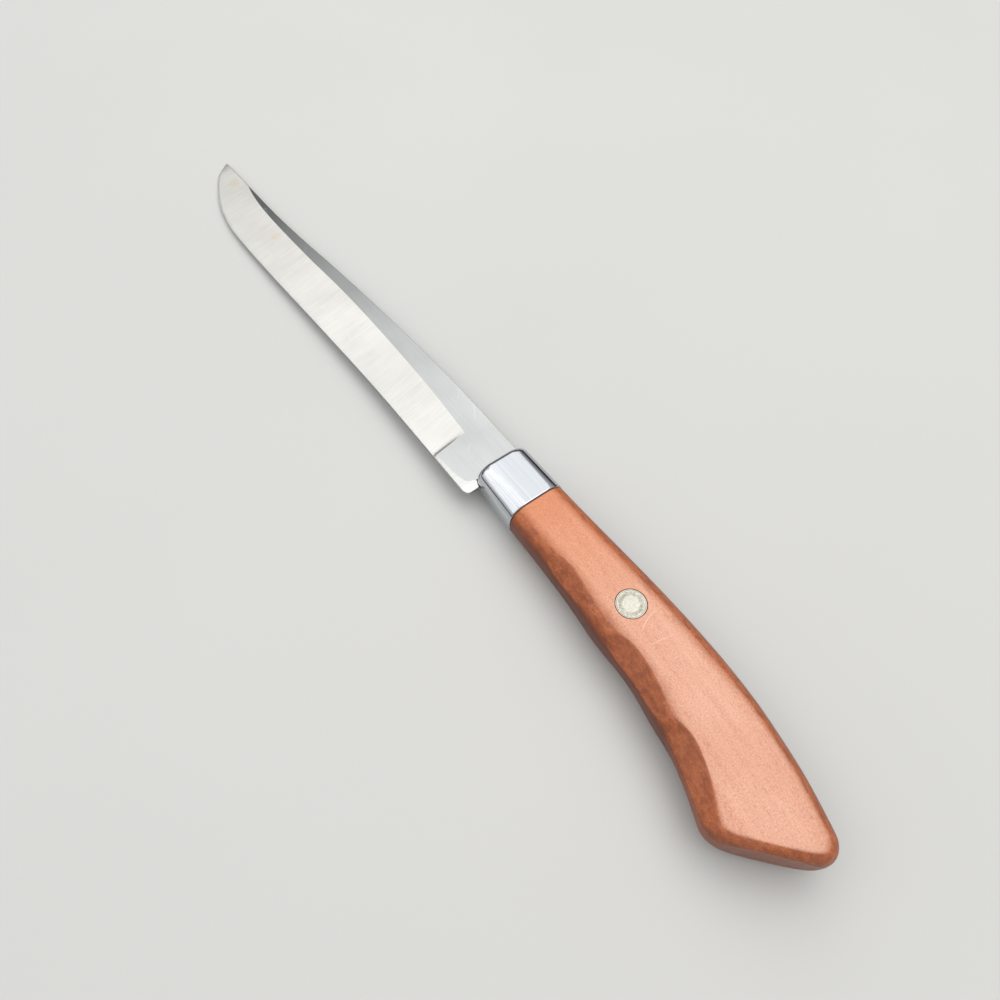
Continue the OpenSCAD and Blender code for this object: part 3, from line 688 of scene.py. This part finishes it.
def bladeSide():
    # stations lean with the plunge. Each goes from the rounded spine over the flat, the hollow and the bevel
    # to the edge. The hollow is an arc of the wheel between grind line and shoulder, and at the plunge its
    # depth grows from nothing by t(2 - t)
    b = bladeShape
    half, halfShoulder = b["thickness"] / 2, b["shoulder"] / 2
    station = stationsAlong()
    lean = b["plungeSlant"] * (1 - ease(np.clip(-station / b["length"], 0, 1)))
    lean = np.where(station > -b["plunge"], lean * -station / b["plunge"], lean)
    top, low = spineAt(station), edgeAt(station)
    for _ in range(8):
        top = spineAt(np.minimum(station - lean * (top + b["edgeDepth"]), 0))
        low = edgeAt(np.minimum(station - lean * (low + b["edgeDepth"]), 0))
    high = grindAt(station - lean * b["edgeDepth"])
    bevel = bevelAt(station)
    t = np.clip((-station - b["plunge"]) / b["plungeWidth"], 0, 1)
    depthShare = t * (2 - t)
    halfEdge = mix(b["heelThickness"], b["edge"], depthShare)[:, None] / 2
    width = np.maximum(high - low - bevel, 0.01)
    sag = width ** 2 / (8 * b["wheel"])

    def sideAt(y):
        v = np.clip((y - low[:, None] - bevel[:, None]) / width[:, None], 0, 1)
        hollow = mix(halfShoulder, half, v) - 4 * sag[:, None] * v * (1 - v)
        face = half - (half - hollow) * depthShare[:, None]
        shoulder = half - (half - halfShoulder) * depthShare[:, None]
        w = np.clip((y - low[:, None]) / bevel[:, None], 0, 1)
        return np.where(y < low[:, None] + bevel[:, None] - 1e-9, mix(halfEdge, shoulder, w), face)

    tall = top - low
    rounding = np.minimum(b["spineRound"], 0.06 * tall)[:, None]
    tangTop = (b["spineRise"] - b["tangMiddle"] - b["tangRoot"] / 2) / (b["spineRise"] - high[0])
    roundShare = b["spineRound"] / (b["spineRise"] - high[0])
    flatShares = twoSpans(roundShare, tangTop, 1, b["flatSteps"])
    tangLow = (high[0] - b["tangMiddle"] + b["tangRoot"] / 2) / (high[0] - low[0] - b["heelBevel"])
    midShares = twoSpans(0, tangLow, 1, b["hollowSteps"])
    shoulderShare = (low[0] + b["heelBevel"] - b["shoulderLow"]) / b["heelBevel"]
    bevelShares = np.concatenate([[0], np.linspace(shoulderShare, 1, b["bevelSteps"] + 1)])

    grindLine = np.minimum(high, top)
    shoulderLine = np.minimum(low + bevel, grindLine)
    flatStart = top[:, None] - rounding
    flat = flatStart + (grindLine[:, None] - flatStart) * ((flatShares - roundShare) / (1 - roundShare))[None]
    flat = np.minimum(flat, flatStart)
    mid = mix(np.minimum(grindLine, flat[:, -1])[:, None], shoulderLine[:, None], midShares[None])
    bevelRows = mix(shoulderLine[:, None], low[:, None], bevelShares[None])
    angle = quarterTurn(b["roundSteps"] + 1)[None]
    flatSide = sideAt(flat)
    drawnIn = np.minimum(rounding, 0.5 * flatSide[:, :1])
    arcY = flat[:, :1] + rounding * np.cos(angle)
    arcSide = flatSide[:, :1] - drawnIn * (1 - np.sin(angle))

    def placedAt(y, side):
        return np.stack([station[:, None] - lean[:, None] * (y + b["edgeDepth"]), y, side], -1)

    arc, flatGrid = placedAt(arcY, arcSide), placedAt(flat, flatSide)
    midGrid, bevelGrid = placedAt(mid, sideAt(mid)), placedAt(bevelRows, sideAt(bevelRows))
    bevelGrid[:, 0] = midGrid[:, -1]
    plungeRow = b["rowsHeel"] - 1
    patches = [
        patch(arc, 1), patch(flatGrid, 2), patch(midGrid[:plungeRow + 1], 2),
        patch(midGrid[plungeRow:], 3, 1), patch(bevelGrid, 4, 2),
    ]
    column, tip = (np.concatenate([arc[row], flatGrid[row, 1:], midGrid[row, 1:], bevelGrid[row, 1:]])
                   for row in (0, -1))
    tangFrom = b["roundSteps"] + b["flatSteps"][0]
    tangTo = tangFrom + b["flatSteps"][1] + b["hollowSteps"][0]
    return patches, column, tangFrom, tangTo, bevelGrid[0, 1:], arc[:, 0], bevelGrid[:, -1], tip


def tangSide(root):
    # a tapered plate from the root's points to a round end, notched by half circles, with a hole for the pin
    b = bladeShape
    bend = b["tangLength"] - b["tangTail"] / 2
    shares = (root[:, 1] - root[0, 1]) / (root[-1, 1] - root[0, 1])
    notches = np.array(b["notches"]) * bend
    turn = np.linspace(-math.pi / 2, math.pi / 2, b["notchRows"])
    places = [notch + b["notchRadius"] * np.sin(turn) for notch in notches]
    windowFrom, windowTo = (round(medallionAt[0] + side * b["window"], 6) for side in (-1, 1))
    end = bend + b["tangTail"] / 2 * np.sin(quarterTurn(b["endRows"]))
    x = np.concatenate([np.linspace(0, bend, b["tangRows"]), *places, [windowFrom, windowTo], end])
    x = np.unique(np.round(x, 6))
    x = x[(x <= windowFrom) | (x >= windowTo)]

    def outline(x):
        tapered = mix(b["tangRoot"], b["tangTail"], np.clip(x, 0, bend) / bend) / 2
        roundEnd = np.sqrt(np.maximum(0, (b["tangTail"] / 2) ** 2 - (x - bend) ** 2))
        reach = np.where(x <= bend, tapered, roundEnd)
        away = np.min(np.abs(x[:, None] - notches[None]), 1)
        return reach - np.sqrt(np.maximum(0, b["notchRadius"] ** 2 - away ** 2))

    def plate(x):
        y = b["tangMiddle"] + outline(x)[:, None] * (1 - 2 * shares[None])
        return np.stack([np.broadcast_to(x[:, None], y.shape), y, np.full(y.shape, b["thickness"] / 2)], -1)

    front, rear = plate(x[x <= windowFrom]), plate(x[x >= windowTo])
    front[0] = root
    across = plate(np.linspace(windowFrom, windowTo, b["windowRows"]))
    loop = windowLoop(across, 0, len(across) - 1, 0, len(shares) - 1)
    ring, circle = holePatches(loop, medallionAt, b["pinHole"], b["holeRings"], 5, b["thickness"] / 2)
    upper = np.concatenate([front[:, 0], across[1:-1, 0], rear[:, 0]])
    lower = np.concatenate([front[:, -1], across[1:-1, -1], rear[:, -1]])
    return [patch(front, 5), patch(rear, 5), ring], upper, lower, circle


def makeBlade():
    # both sides, the tang and the walls that close them
    b = bladeShape
    side, column, tangFrom, tangTo, heelColumn, spineLine, edgeLine, tip = bladeSide()
    tang, tangUpper, tangLower, hole = tangSide(column[tangFrom:tangTo + 1])
    # the heel behind the ferrule's face: each row goes back as far as the rounded corner lets it
    y, thick = heelColumn[:, 1], heelColumn[:, 2]
    corner = np.maximum(0, y - (b["heelRadius"] - b["edgeDepth"]))
    drop = np.clip((b["heelRadius"] - b["edgeDepth"]) - y, 0, b["heelRadius"])
    rounded = b["heelOverhang"] - b["heelRadius"] + np.sqrt(np.maximum(0, b["heelRadius"] ** 2 - drop ** 2))
    reach = np.where(corner > 0, b["heelOverhang"], rounded)
    # the rows above the ferrule's underside end along its rounded front rim
    rimLength, rim = b["ferruleRim"]
    drawnIn = y - b["ferruleBottom"]
    fitted = rimLength * (1 - np.sqrt(1 - np.clip(1 - drawnIn / rim, 0, 1) ** 2))
    reach = np.where(drawnIn > 0, np.minimum(reach, fitted), reach)
    share = np.linspace(0, 1, b["heelColumns"])[:, None]
    heel = np.stack(np.broadcast_arrays(share * reach[None], y, thick), -1)
    side = side + tang + [patch(heel, 4, 2)]
    lowTo = len(column) - len(heelColumn) + 1
    walls = [
        wall(spineLine, 1), wall(edgeLine, 6, 2), wall(tip, 7, 2),
        wall(column[:tangFrom + 1], 8), wall(column[tangTo:lowTo], 8),
        wall(tangUpper, 9), wall(tangLower, 9), wall(hole, 10, 0, True),
        wall(heel[:, 0], 8), wall(heel[-1], 11), wall(heel[:, -1], 6, 2),
    ]
    steels = [steelFlat, steelGround, steelBevel]
    makePiece("bladeSurface", side + mirrored(side) + walls, steels, "blade")


makeBlade()


# Ferrule
ferruleShape = {
    "length": ferruleLength, "wall": 0.8, "rim": 1.6, "rimLength": 2.6, "frontThickness": 13.8,
    "rearThickness": 14.2, "frontTop": 10.5, "rearTop": ferruleTopAtRear, "frontBottom": 9.3,
    "rearBottom": 10.4, "rearRound": 0.45, "flatCut": 0.2,
    "slotHalf": 1.1, "slotReach": 6.1, "slotMiddle": 0.6,
    "pointsRound": 208, "rimRings": 12, "bodyRings": 12, "faceRings": 5,
}
around = 2 * math.pi * np.arange(ferruleShape["pointsRound"]) / ferruleShape["pointsRound"]


def ferruleRings(x, inset):
    # the oblong section, its sizes straight from front to rear, drawn in all round by inset
    f = ferruleShape
    x, inset = np.broadcast_arrays(np.atleast_1d(x).astype(float), inset)
    share = x / f["length"]
    half = mix(f["frontThickness"], f["rearThickness"], share) / 2 - inset
    upper = np.stack([x, mix(f["frontTop"], f["rearTop"], share) - inset], -1)
    lower = np.stack([x, inset - mix(f["frontBottom"], f["rearBottom"], share)], -1)
    return section(upper, lower, half + f["flatCut"], half, around)


def oblongHole(x, middle, reach, half):
    # where rays from the middle at each angle meet a rectangle's border
    c, s = np.cos(around), np.sin(around)
    far = np.minimum(reach / np.maximum(np.abs(c), 1e-9), half / np.maximum(np.abs(s), 1e-9))
    return np.stack([np.full(len(around), float(x)), middle + far * c, far * s], -1)


def makeFerrule():
    # the front rim is a quarter ellipse, the rear rim a quarter circle, and the bore follows the outside
    f = ferruleShape
    turn = quarterTurn(f["rimRings"])
    rim = ferruleRings(f["rimLength"] * (1 - np.sin(turn[::-1])), f["rim"] * (1 - np.cos(turn[::-1])))
    body = ferruleRings(np.linspace(f["rimLength"], f["length"] - f["rearRound"], f["bodyRings"]), 0)
    small = f["rearRound"]
    rear = ferruleRings(f["length"] - small * (1 - np.sin(turn)), small * (1 - np.cos(turn)))
    bore = ferruleRings(np.array([f["length"], f["wall"]]), f["wall"])
    slotFront, slotBack = (oblongHole(x, f["slotMiddle"], f["slotReach"], f["slotHalf"])
                           for x in (0.0, f["wall"]))
    share = np.linspace(0, 1, f["faceRings"])[:, None, None]
    patches = [
        tube(mix(slotFront[None], rim[:1], share), 1), tube(rim, 2), tube(body, 2), tube(rear, 2),
        tube(np.stack([rear[-1], bore[0]]), 3), tube(bore, 4), tube(np.stack([bore[1], slotBack]), 5),
        tube(np.stack([slotBack, slotFront]), 6),
    ]
    makePiece("ferruleSurface", patches, [chrome], "ferrule")


makeFerrule()


# Handle
handleShape = {
    "buttDistance": 115.8, "buttDepth": 13.5, "buttAngle": math.radians(40.8),
    "backDrop": 11.0, "gripDrop": 18.6,
    # curves over the share of the way to the butt, as shares of the drop
    "back": [[0, 0], [0.088, 0.011], [0.189, 0.034], [0.442, 0.089], [0.595, 0.053], [0.716, -0.055],
             [0.797, -0.192], [0.919, -0.477], [1.061, -0.962], [1.304, -1.81]],
    "grip": [[0, 0], [0.088, 0.016], [0.189, 0.046], [0.29, 0.093], [0.371, 0.151], [0.493, 0.185],
             [0.539, 0.214], [0.615, 0.307], [0.696, 0.401], [0.777, 0.569], [0.838, 0.726], [0.949, 1.013],
             [1.101, 1.408]],
    "woodTop": 10.45, "woodBottom": -10.15, "woodHalf": 6.85, "halfFlats": flatHeight, "flatCut": 0.2,
    "swell": 0.35,
    "topRadius": 5.8, "lowRadius": 7.5, "buttRound": 3.7, "buttFace": 0.7, "buttPower": 2.3,
    "grooveStart": 45.5, "groovePitch": 30.0, "grooves": 3, "drum": 30.0, "drumBehind": 70.0,
    "grooveDepth": 3.7, "grooveExtra": 0.4, "grooveSlope": math.pi / 4, "grooveEase": 0.22,
    "tenonInset": 0.9, "mortiseHalf": 1.7, "mortiseEnd": 95.0, "mortiseBend": 88.0, "cementGap": 0.7,
    "mortiseRings": (60.0, 30.0), "recessRadius": 4.65, "recessFloor": 6.8, "recessRound": 0.12,
    # the part of the skin that gives way to the recess, along the handle and round it
    "windowReach": 6.2, "windowAngles": (62, 118),
    "rows": 250, "buttRows": 44, "tenonRings": 4, "fillRings": 9, "lipRings": 5,
}


def gripLine(start, drop, curve, t):
    # the place along the axis, and the height at the ferrule plus the drop times the curve
    h = handleShape
    return np.stack([ferruleLength + h["buttDistance"] * t, start + drop * smoothCurve(curve, t)], -1)


def backOf(t):
    h = handleShape
    return gripLine(h["woodTop"], h["backDrop"], h["back"], t)


def bellyOf(t):
    h = handleShape
    return gripLine(h["woodBottom"], -h["gripDrop"], h["grip"], t)


buttAngle = handleShape["buttAngle"]
buttAlong = np.array([-math.cos(buttAngle), -math.sin(buttAngle)])
buttOut = np.array([math.sin(buttAngle), -math.cos(buttAngle)])
buttMiddle = np.array([ferruleLength + handleShape["buttDistance"], -handleShape["buttDepth"]])
# where along each curve its way into the butt face is looked for
searchSpans = {backOf: (0.5, 1.3), bellyOf: (0.4, 1.1)}


def insideButt(curve, depth):
    # halving the span until the curve lies that depth inside the butt face
    depth = np.atleast_1d(np.asarray(depth, float))
    low, high = (np.full(len(depth), end) for end in searchSpans[curve])
    for _ in range(40):
        t = (low + high) / 2
        deeper = (buttMiddle - curve(t)) @ buttOut > depth
        low, high = np.where(deeper, t, low), np.where(deeper, high, t)
    return (low + high) / 2


def cornerAngle(curve):
    # between the curve's last stretch and the butt face, from the cosine of their directions
    ends = curve(insideButt(curve, [0.0, handleShape["buttRound"]]))
    step = ends[1] - ends[0]
    return math.acos(abs(step @ buttAlong) / np.linalg.norm(step))


def cornerDraw(depth, radius, angle):
    # how far an arc of that radius in the corner draws the outline in
    run = radius / math.tan(angle / 2)
    drawn = run - np.sqrt(np.maximum(0, radius ** 2 - (radius - depth) ** 2)) - depth / math.tan(angle)
    return np.where(depth >= run * math.sin(angle), 0, drawn)


def grooved(points, half):
    # a drum laid across the corner between flat and belly pushes every point that it reaches along its own
    # slope. The push goes softly to nothing: half the sum of the reach and the root of reach squared plus
    # ease squared, less ease squared over four times the sum of reach and ease
    h = handleShape
    sine, cosine = math.sin(h["grooveSlope"]), math.cos(h["grooveSlope"])
    soft = h["grooveEase"]
    push = np.zeros(points.shape[:2])
    for k in range(h["grooves"]):
        x = h["grooveStart"] + h["groovePitch"] * k
        line = bellyOf((np.array([x, x + 1]) - ferruleLength) / h["buttDistance"])[:, 1]
        away = points[..., 0] - x
        overBelly = points[..., 1] - line[0] - (line[1] - line[0]) * away
        fromCorner = overBelly * cosine + (half - np.abs(points[..., 2])) * sine
        drum = np.where(away > 0, h["drumBehind"], h["drum"])
        under = np.maximum(drum ** 2 - away ** 2, 0)
        reach = h["grooveDepth"] + h["grooveExtra"] * k - drum + np.sqrt(under) - fromCorner
        eased = (reach + np.sqrt(reach ** 2 + soft ** 2)) / 2 - soft ** 2 / (4 * (np.abs(reach) + soft))
        push = np.maximum(push, np.where(under > 0, eased, 0))
    return points + np.stack([0 * push, push * cosine, -np.sign(points[..., 2]) * push * sine], -1)


def handleSkin():
    # sections from the ferrule's joint, thickening to the flats. Near the butt face the half thickness is
    # multiplied by 1 - n(1 - f) to the power 1/p, where n is the nearness and f the face's share, each to the
    # power p
    h = handleShape
    backCorner, gripCorner = cornerAngle(backOf), math.pi - cornerAngle(bellyOf)
    zone = max(h["topRadius"] / math.tan(backCorner / 2) * math.sin(backCorner),
               h["lowRadius"] / math.tan(gripCorner / 2) * math.sin(gripCorner), h["buttRound"])
    backEnd, bellyEnd = insideButt(backOf, zone)[0], insideButt(bellyOf, zone)[0]
    u = np.linspace(0, 1, h["rows"])
    swell = ease(np.minimum(1, u / h["swell"]))
    limit = mix(h["woodHalf"], h["halfFlats"], swell)
    half = limit + h["flatCut"]
    pressed = np.where(swell < 1, limit, half)
    grip = grooved(section(backOf(u * backEnd), bellyOf(u * bellyEnd), half, pressed, around), half[:, None])
    depth = zone * (1 - np.sin(quarterTurn(h["buttRows"]))[1:])
    upper, lower = backOf(insideButt(backOf, depth)), bellyOf(insideButt(bellyOf, depth))
    upper = upper + buttAlong * cornerDraw(depth, h["topRadius"], backCorner)[:, None]
    lower = lower - buttAlong * cornerDraw(depth, h["lowRadius"], gripCorner)[:, None]
    near, power = np.maximum(0, 1 - depth / h["buttRound"]), h["buttPower"]
    narrowed = (1 - near ** power * (1 - h["buttFace"] ** power)) ** (1 / power)
    buttHalf = (h["halfFlats"] + h["flatCut"]) * narrowed
    butt = grooved(section(upper, lower, buttHalf, buttHalf, around), buttHalf[:, None])
    skin = np.concatenate([grip, butt])
    skin[..., 2] = np.clip(skin[..., 2], -h["halfFlats"], h["halfFlats"])
    return skin


def recessPatches(skin):
    # the medallion's recess in the upper flat: a window of the skin filled up to a circle, a rounded lip, the
    # wall and the floor
    h = handleShape
    radius, lipRound, top, floor = h["recessRadius"], h["recessRound"], h["halfFlats"], h["recessFloor"]
    lowAngle, highAngle = np.radians(h["windowAngles"])
    columns = np.flatnonzero((around > lowAngle) & (around < highAngle))
    columnFrom, columnTo = columns[0], columns[-1]
    middleX = skin[:h["rows"], (columnFrom + columnTo) // 2, 0]
    rowFrom, rowTo = (int(np.searchsorted(middleX, medallionAt[0] + side * h["windowReach"]))
                      for side in (-1, 1))
    loop = windowLoop(skin, rowFrom, rowTo, columnFrom, columnTo)
    filled, circle = holePatches(loop, medallionAt, radius + lipRound, h["fillRings"], 2, top)
    direction = (circle[:, :2] - medallionAt) / (radius + lipRound)

    def ringAt(size, height):
        return np.concatenate([medallionAt + direction * size, np.full((len(circle), 1), height)], 1)

    turn = quarterTurn(h["lipRings"])
    lip = np.stack([ringAt(radius + lipRound * (1 - math.sin(a)), top - lipRound * (1 - math.cos(a)))
                    for a in turn])
    well = np.stack([lip[-1], ringAt(radius, floor)])
    floorRings = np.stack([ringAt(radius * share, floor) for share in (1.0, 0.5, 0.0)])
    wrapped = np.concatenate([skin, skin[:, :1]], 1)
    beside = wrapped[rowFrom:rowTo + 1]
    return [
        patch(wrapped[:rowFrom + 1], 2), patch(wrapped[rowTo:], 2),
        patch(beside[:, :columnFrom + 1], 2), patch(beside[:, columnTo:], 2),
        filled, tube(lip, 2), tube(well, 3), tube(floorRings, 4),
    ]


def makeHandle():
    # the skin, the butt face, the tenon and the mortise, which tapers with the tang
    h, b, f = handleShape, bladeShape, ferruleShape
    skin = handleSkin()
    tenon = ferruleRings(np.linspace(f["wall"], f["length"], h["tenonRings"]), h["tenonInset"])
    mortise = []
    for x in (h["mortiseEnd"], h["mortiseBend"], *h["mortiseRings"], f["wall"]):
        tangHalf = mix(b["tangRoot"] / 2, b["tangTail"] / 2, min(x, h["mortiseBend"]) / h["mortiseBend"])
        mortise.append(oblongHole(x, f["slotMiddle"], tangHalf + h["cementGap"], h["mortiseHalf"]))
    mortise = np.stack(mortise)
    faceRows = np.stack([skin[-1] * [1, 1, s] for s in (1.0, 0.66, 0.33, 0.0)])
    mortiseFloor = np.stack([mortise[0] * [1, 1, s] for s in (0.0, 1.0)])
    patches = recessPatches(skin) + [
        tube(faceRows, 5), tube(np.stack([tenon[-1], skin[0]]), 6), tube(tenon, 7),
        tube(np.stack([mortise[-1], tenon[0]]), 8), tube(mortise, 9), tube(mortiseFloor, 10),
    ]
    piece = makePiece("handleSurface", patches, [wood], "handle")
    # how far each point is turned from the flats, and how far towards the back, for the wood's painted shade
    mesh = piece.data
    normals = np.empty(3 * len(mesh.vertices), dtype=np.float32)
    mesh.vertex_normals.foreach_get("vector", normals)
    for name, values in (("turned", 1 - np.abs(normals[2::3])), ("behind", np.maximum(0, normals[1::3]))):
        mesh.attributes.new(name, "FLOAT", "POINT").data.foreach_set("value", values)


makeHandle()


# Medallion
medallionShape = {
    "radius": 4.55, "thickness": 1.2, "rimWidth": 0.45, "rimSlope": 0.16, "rimSink": 0.004, "edgeRound": 0.14,
    "fieldDepth": 0.1, "bandInner": 2.4, "bandOuter": 3.9, "beads": 44, "beadHeight": 0.055, "domeRise": 0.04,
    "pointsRound": 352, "domeRings": 12, "bandRings": 16, "fieldRings": 4, "rimRings": 7, "edgeRings": 6,
}


def makeMedallion():
    # a turned disc: height over radius is a low dome, a sunken field with a ring of beads and a rounded rim
    m = medallionShape
    angle = 2 * math.pi * np.arange(m["pointsRound"]) / m["pointsRound"]
    rimFrom = m["radius"] - m["rimWidth"]
    radius = np.concatenate([
        np.linspace(0, m["bandInner"], m["domeRings"]),
        np.linspace(m["bandInner"], m["bandOuter"], m["bandRings"])[1:],
        np.linspace(m["bandOuter"], rimFrom, m["fieldRings"])[1:],
        np.linspace(rimFrom, m["radius"] - m["edgeRound"], m["rimRings"])[1:],
    ])
    field = m["thickness"] - m["fieldDepth"]
    rimRise = ease(np.clip((radius - rimFrom) / m["rimSlope"], 0, 1)) * (m["fieldDepth"] - m["rimSink"])
    dome = m["domeRise"] * (1 - np.clip(radius / m["bandInner"], 0, 1) ** 2)
    across = np.clip((radius - m["bandInner"]) / (m["bandOuter"] - m["bandInner"]), 0, 1)
    beadsRound = (0.5 + 0.5 * np.cos(m["beads"] * angle))[None] ** 1.5
    bead = m["beadHeight"] * np.maximum(0, np.sin(math.pi * across))[:, None] * beadsRound

    def turned(radius, height):
        radius = radius[:, None]
        return np.stack(np.broadcast_arrays(radius * np.cos(angle), radius * np.sin(angle), height), -1)

    top = turned(radius, (field + rimRise + dome)[:, None] + bead)
    turn = quarterTurn(m["edgeRings"])
    edgeHeight = m["thickness"] - m["rimSink"] - m["edgeRound"] * (1 - np.cos(turn))
    edge = turned(m["radius"] - m["edgeRound"] * (1 - np.sin(turn)), edgeHeight[:, None])
    under = np.stack([edge[-1] * [1, 1, 0], edge[-1] * [0, 0, 0]])
    side = np.stack([edge[-1], under[0]])
    seat = np.array([*medallionAt, handleShape["recessFloor"]])
    patches = [tube(rings + seat, group) for rings, group in ((top, 1), (edge, 1), (side, 2), (under, 3))]
    makePiece("medallionSurface", patches, [medallionMetal], "medallion")


makeMedallion()

# the solids get their materials too; the pin and the cement have no finer surface
solidLooks = {
    "blade": steelFlat, "ferrule": chrome, "handle": wood, "medallion": medallionMetal,
    "tang_pin": pinBrass, "tang_cement": cement,
}
for node, material in solidLooks.items():
    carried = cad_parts[node]
    carried.data.materials.clear()
    carried.data.materials.append(material)
print("pieces made")


# Floor, light and camera
studio = {
    "floorColour": (206, 206, 204), "floorPale": (212, 212, 210), "floorBounce": (124, 124, 122),
    # the two spots on which the knife rests, along it and in height, and the floor's gap below them
    "floorSize": 6.0, "restAt": (1.6, -6.9), "tipAt": (-201.5, -0.7), "floorGap": 0.00005,
    # the heights of a direction between which the world brightens, and its strength at both
    "world": (0.2, 0.62, 0.04, 0.86),
    "lamps": [
        # name, place, aim, width, height, watts, colour
        ("softTop", (-0.55, 0.35, 0.95), (0.0, 0.0, 0.0), 1.1, 1.2, 3.1, (1.0, 0.99, 0.97)),
        ("softGrip", (0.25, 0.4, 0.95), (0.1, 0.0, 0.0), 1.0, 0.8, 3.1, (1.0, 0.985, 0.96)),
        ("softEdge", (-0.55, -0.62, 0.9), (0.0, 0.0, 0.0), 0.9, 0.7, 1.5, (1.0, 1.0, 1.0)),
        ("softLow", (-0.55, -1.05, 0.42), (0.0, 0.0, 0.0), 1.0, 0.5, 0.8, (1.0, 1.0, 1.0)),
    ],
    "cameraAt": (112.518, -82.346, 203.3), "lens": 27.04,
    "forward": (-0.42636, 0.31469, -0.84805), "up": (-0.68233, 0.50361, 0.52992),
}


def makeFloor():
    # a large plane through the two spots on which the knife rests
    x = np.array([studio["restAt"][0], studio["tipAt"][0]]) * mm + knifeOrigin[0]
    z = np.array([studio["restAt"][1], studio["tipAt"][1]]) * mm + knifeOrigin[2] - studio["floorGap"]
    slope = (z[1] - z[0]) / (x[1] - x[0])
    reach = studio["floorSize"] / 2
    corners = np.array([[-reach, -reach], [reach, -reach], [reach, reach], [-reach, reach]])
    points = np.column_stack([corners, z[0] + slope * (corners[:, 0] - x[0])])
    mesh = bpy.data.meshes.new("studioFloor")
    mesh.from_pydata(points.tolist(), [], [(0, 1, 2, 3)])
    material, tree, spot = newMaterial("paleFloor")
    cloud = noise(tree, spot, 6.0, 2.0)
    seen = blendColours(tree, cloud, studio["floorColour"], studio["floorPale"])
    # the pale floor is what the camera, mirrors and glass see; only diffuse light bounces off a darker one
    path = tree.nodes.new("ShaderNodeLightPath").outputs
    mirrors = combine(tree, "MAXIMUM", path["Is Glossy Ray"], path["Is Transmission Ray"])
    direct = combine(tree, "MAXIMUM", path["Is Camera Ray"], mirrors)
    shader = tree.nodes["Principled BSDF"].inputs
    join(tree, shader["Base Color"], blendColours(tree, direct, studio["floorBounce"], seen))
    join(tree, shader["Roughness"], 0.8)
    mesh.materials.append(material)
    floor = bpy.data.objects.new("studioFloor", mesh)
    bpy.context.scene.collection.objects.link(floor)


def unit(vector):
    return vector / np.linalg.norm(vector)


def placeHolder(name, data, right, up, back, place):
    # a lamp or camera, which looks against back, set into the scene
    holder = bpy.data.objects.new(name, data)
    bpy.context.scene.collection.objects.link(holder)
    rows = np.vstack([np.column_stack([right, up, back, place]), [0, 0, 0, 1]])
    holder.matrix_world = Matrix(rows.tolist())
    return holder


def makeLights():
    world = bpy.data.worlds.new("softStudio")
    world.use_nodes = True
    tree, background = world.node_tree, world.node_tree.nodes["Background"]
    background.inputs["Color"].default_value = (1.0, 1.0, 1.0, 1.0)
    # dimmer at the horizon than overhead
    direction = tree.nodes.new("ShaderNodeTexCoord").outputs["Generated"]
    rise = addNode(tree, "ShaderNodeSeparateXYZ", Vector=direction).outputs["Z"]
    strength = ramp(tree, rise, *studio["world"])
    tree.links.new(strength, background.inputs["Strength"])
    bpy.context.scene.world = world
    for name, place, aim, width, height, watts, colour in studio["lamps"]:
        lamp = bpy.data.lights.new(name, "AREA")
        lamp.shape = "RECTANGLE"
        lamp.size, lamp.size_y, lamp.energy, lamp.color = width, height, watts, colour
        back = unit(np.array(place) - np.array(aim))
        side = unit(np.cross([0, 0, 1.0], back))
        placeHolder(name, lamp, side, np.cross(back, side), back, place)


def makeCamera():
    view = bpy.data.cameras.new("viewCamera")
    view.lens, view.sensor_width, view.clip_start = studio["lens"], 36.0, 0.01
    forward = unit(np.array(studio["forward"]))
    right = unit(np.cross(forward, studio["up"]))
    place = onKnife(*studio["cameraAt"])
    camera = placeHolder("viewCamera", view, right, np.cross(right, forward), -forward, place)
    bpy.context.scene.camera = camera


makeFloor()
makeLights()
makeCamera()
bpy.context.scene.view_settings.view_transform = "Standard"
print("floor, lights and camera made")
